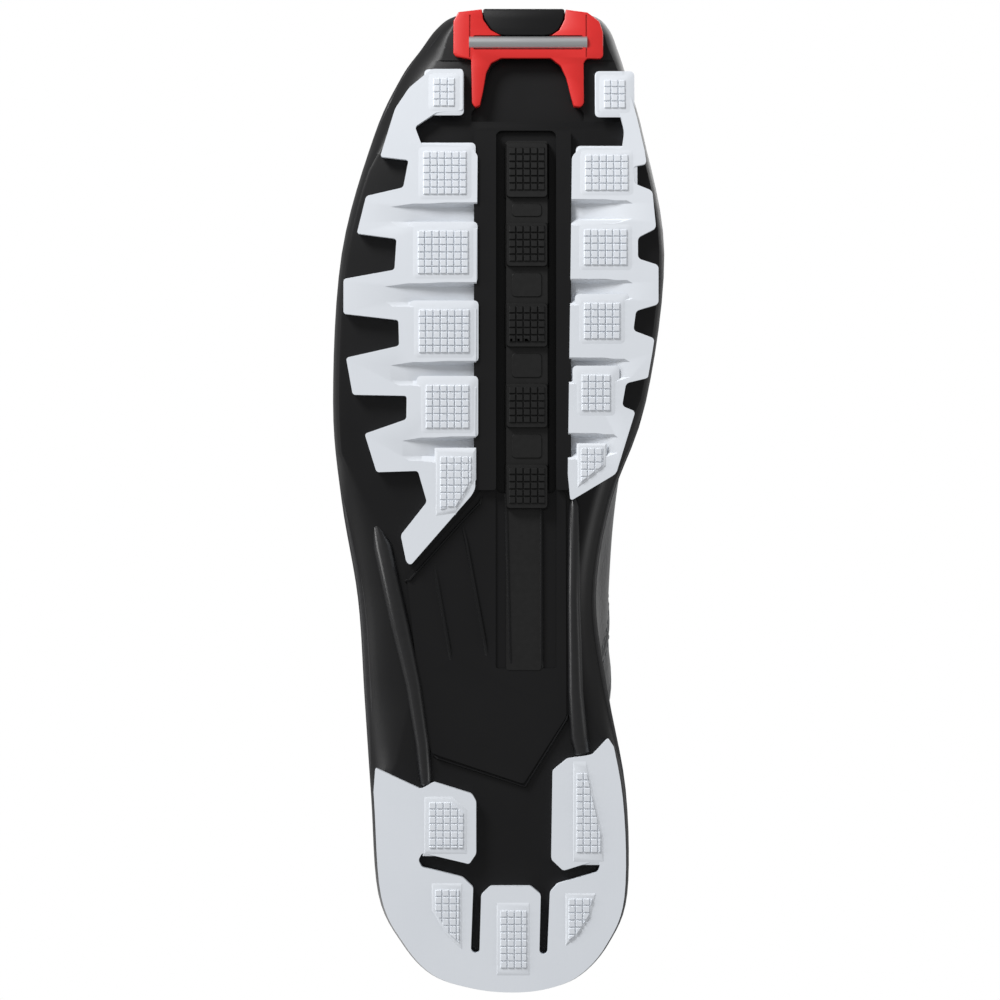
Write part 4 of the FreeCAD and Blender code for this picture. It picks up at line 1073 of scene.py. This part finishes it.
def foot_ring(inset, above):
    """The foot's outline, lying `above` the top of the midsole."""
    ring = []
    for point in sole_ring(0.0, inset, 0.0):
        heel_lift = HEEL_LIFT * min(1.0, max(0.0, (point.y - LIFT_START) / LIFT_RUN))
        ring.append(point + Vector((0, 0, MIDSOLE_TOP + heel_lift + above + rise(point.y))))
    return ring


footbed = loft_bm([foot_ring(*row) for row in ((8.0, 2.1), (6.9, 2.4), (6.8, 5.6), (8.0, 6.0),
                                               (16.0, 5.6), (26.0, 5.2))])
FELT = fabric("footbed_felt", (0.10, 0.10, 0.105, 1), (0.20, 0.20, 0.21, 1), 500.0, 0.85, 0.0003)
piece(footbed, "footbed", FELT, smooth=60)


# ==== Zip: tapes, teeth, stops and slider =======================================================
# A metal slider runs on two rows of coil teeth sewn to woven tapes. It rides on its own body, and
# its puller swings on a pin under the slider's bail.
ZIP_TILT = math.atan2(0.5882, 0.8087)
ZIP_FRAME = Matrix.Translation((1.0, -56.0, 85.36)) @ Matrix.Rotation(ZIP_TILT, 4, "X")
ZIP_LENGTH = 74.0


def zip_box_bm(low, high, corner=0.0, edge=0.0):
    """A box between two corners, with its upright edges and then all its edges eased if asked."""
    bm = slab_bm(low[0], high[0], low[1], high[1], low[2], high[2], corner)
    if edge:
        ease(bm, [e for e in bm.edges if len(e.link_faces) == 2 and e.calc_face_angle(0) > 1.0],
             edge, 2)
    return bm


def side_box_bm(side, near, far, low, high, edge=0.0):
    """A box at one side of the zip, from `near` to `far` of its middle."""
    left, right = sorted((side * near, side * far))
    return zip_box_bm((left, *low), (right, *high), 0.0, edge)


def on_zip(bm):
    """Lays a zip part, drawn flat, on the slope of the instep."""
    bmesh.ops.transform(bm, matrix=ZIP_FRAME, verts=bm.verts)
    return bm


TAPE_CLOTH = fabric("zip_tape_weave", (0.012, 0.012, 0.013, 1), (0.045, 0.045, 0.048, 1),
                    1900.0, 0.6)
COIL = plain("zip_coil", (0.015, 0.015, 0.016, 1), (0.030, 0.030, 0.032, 1), 0.32, 0.1, 300.0,
             2.0)
TOOTH_PITCH, TOOTH_OUT, TOOTH_LEVEL = 1.5, 1.38, 3.85
TOOTH_HALF = (0.80, 0.42, 0.75, 1.0)
for side, word in ((-1, "lateral"), (1, "medial")):
    tape = side_box_bm(side, 0.7, 6.7, (-4.6, 2.2), (ZIP_LENGTH + 1.0, 3.2), 0.25)
    piece(on_zip(tape), "zip_tape_" + word, TAPE_CLOTH)
    teeth = bmesh.new()
    for index in range(int(ZIP_LENGTH / TOOTH_PITCH)):
        place = (side * TOOTH_OUT, (index + 0.5 + 0.25 * side) * TOOTH_PITCH, TOOTH_LEVEL)
        bmesh.ops.create_icosphere(teeth, subdivisions=1, radius=1.0, matrix=Matrix.Translation(
            place) @ Matrix.Diagonal(TOOTH_HALF))
    join_bm(teeth, side_box_bm(side, 0.9, 2.2, (0.0, 3.1), (ZIP_LENGTH, 3.6)))
    piece(on_zip(teeth), "zip_teeth_" + word, COIL, smooth=60)

ZIP_METAL = plain("zip_metal", (0.10, 0.10, 0.11, 1), (0.17, 0.17, 0.18, 1), 0.30, 0.14, 500.0,
                  3.0, Metallic=0.9)
stops = zip_box_bm((-2.4, -2.4, 3.0), (2.4, -0.2, 5.0), 0.3, 0.3)
join_bm(stops, zip_box_bm((-2.6, 72.0, 3.0), (-0.5, 74.2, 4.9), 0.3, 0.3))
join_bm(stops, zip_box_bm((0.5, 72.0, 3.0), (2.6, 74.2, 4.9), 0.3, 0.3))
piece(on_zip(stops), "zip_stops", ZIP_METAL)

slider_plan = [(-2.6, 62.3), (2.6, 62.3), (4.0, 64.2), (4.2, 69.6), (3.2, 71.3), (-3.2, 71.3),
               (-4.2, 69.6), (-4.0, 64.2)]
slider = plate_bm(slider_plan, 4.9, 6.0, 0.6)
join_bm(slider, plate_bm(slider_plan, 1.1, 2.1, 0.6))
join_bm(slider, zip_box_bm((-0.5, 69.0, 1.8), (0.5, 71.2, 5.2)))
for side in (-1, 1):
    join_bm(slider, side_box_bm(side, 3.4, 4.2, (64.6, 4.0), (69.4, 5.4)))
    join_bm(slider, side_box_bm(side, 2.0, 3.0, (64.9, 5.8), (68.7, 8.9), 0.3))
PIN = (0.0, 66.8, 8.1)
join_bm(slider, rod_bm(PIN, 0.7, 6.0, 20))
piece(on_zip(slider), "zip_slider", ZIP_METAL, body="slider", soften=0.2)

puller = plate_bm([(-1.6, 68.0), (-1.6, 64.0), (-3.0, 60.0), (-3.0, 41.0), (-1.8, 38.2),
                   (1.8, 38.2), (3.0, 41.0), (3.0, 60.0), (1.6, 64.0), (1.6, 68.0)],
                  7.2, 9.0, 0.7)
recesses = [slab_bm(-1.9, 1.9, 44.5, 57.0, low, high, 1.2)
            for low, high in ((6.0, 7.7), (8.5, 10.0))]
puller = carved(puller, [recesses[0], rod_bm(PIN, 0.85, 8.0, 20), recesses[1]])
FIRST_GRIP, GRIP_PITCH = 46.2, 2.3
for index in range(5):
    grip = FIRST_GRIP + index * GRIP_PITCH
    join_bm(puller, zip_box_bm((-1.8, grip, 7.4), (1.8, grip + 1.0, 8.9), 0.0, 0.2))
PULLER_RED = plain("puller_red_rubber", (0.58, 0.02, 0.018, 1), (0.72, 0.03, 0.022, 1), 0.38,
                   0.12, 200.0, 3.0)
piece(on_zip(puller), "zip_puller", PULLER_RED, body="puller", soften=0.2)


# ==== Heel loop =================================================================================
# A loop of stiff woven webbing, its ends sewn to the back of the collar, to pull the boot on. It is
# made as one closed ring that stands clear of the leg.
LOOP_X, LOOP_Y, LOOP_Z = 1.0, 134.0, 157.8
LOOP_STEPS = 49
STRAP_HALF, STRAP_EASE = 7.4, 0.4
STRAP_CUT = [(-STRAP_HALF, 7.2), (-STRAP_HALF + STRAP_EASE, 7.0), (STRAP_HALF - STRAP_EASE, 7.0),
             (STRAP_HALF, 7.2), (STRAP_HALF, 8.4), (STRAP_HALF - STRAP_EASE, 8.6),
             (-STRAP_HALF + STRAP_EASE, 8.6), (-STRAP_HALF, 8.4)]
strap_rings = []
for step in range(LOOP_STEPS):
    angle = math.tau * step / LOOP_STEPS
    flat = 0.86 + 0.14 * abs(math.cos(angle))
    strap_rings.append([(LOOP_X + x, LOOP_Y + math.cos(angle) * radius * 0.98,
                         LOOP_Z + math.sin(angle) * radius * flat) for x, radius in STRAP_CUT])
WEBBING = fabric("webbing", (0.02, 0.02, 0.021, 1), (0.09, 0.09, 0.092, 1), 620.0, 0.7, 0.0004)
piece(loft_bm(strap_rings, False), "heel_loop", WEBBING, smooth=60)


# ==== Parts inside, carried over from the frame =================================================
# Stiffeners, board, foam, shank and lace loops lie between the layers; they keep the frame's own
# shapes and only get their materials.
INSIDE = {
    "midsole": plain("midsole_foam", (0.03, 0.03, 0.032, 1), (0.05, 0.05, 0.052, 1), 0.75),
    "shank": plain("shank_plastic", (0.03, 0.03, 0.03, 1), (0.06, 0.06, 0.06, 1), 0.4),
    "insole_board": plain("board_fibre", (0.30, 0.24, 0.16, 1), (0.42, 0.34, 0.24, 1), 0.8),
    "toe_puff": plain("puff_board", (0.20, 0.19, 0.17, 1), (0.28, 0.26, 0.24, 1), 0.7),
    "heel_stiffener": plain("counter_board", (0.22, 0.21, 0.19, 1), (0.3, 0.28, 0.26, 1), 0.6),
    "lace_loops": plain("loop_plastic", (0.02, 0.02, 0.02, 1), (0.05, 0.05, 0.05, 1), 0.35)}
for node_name, look in INSIDE.items():
    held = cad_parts[node_name]
    held.data.materials.clear()
    held.data.materials.append(look)
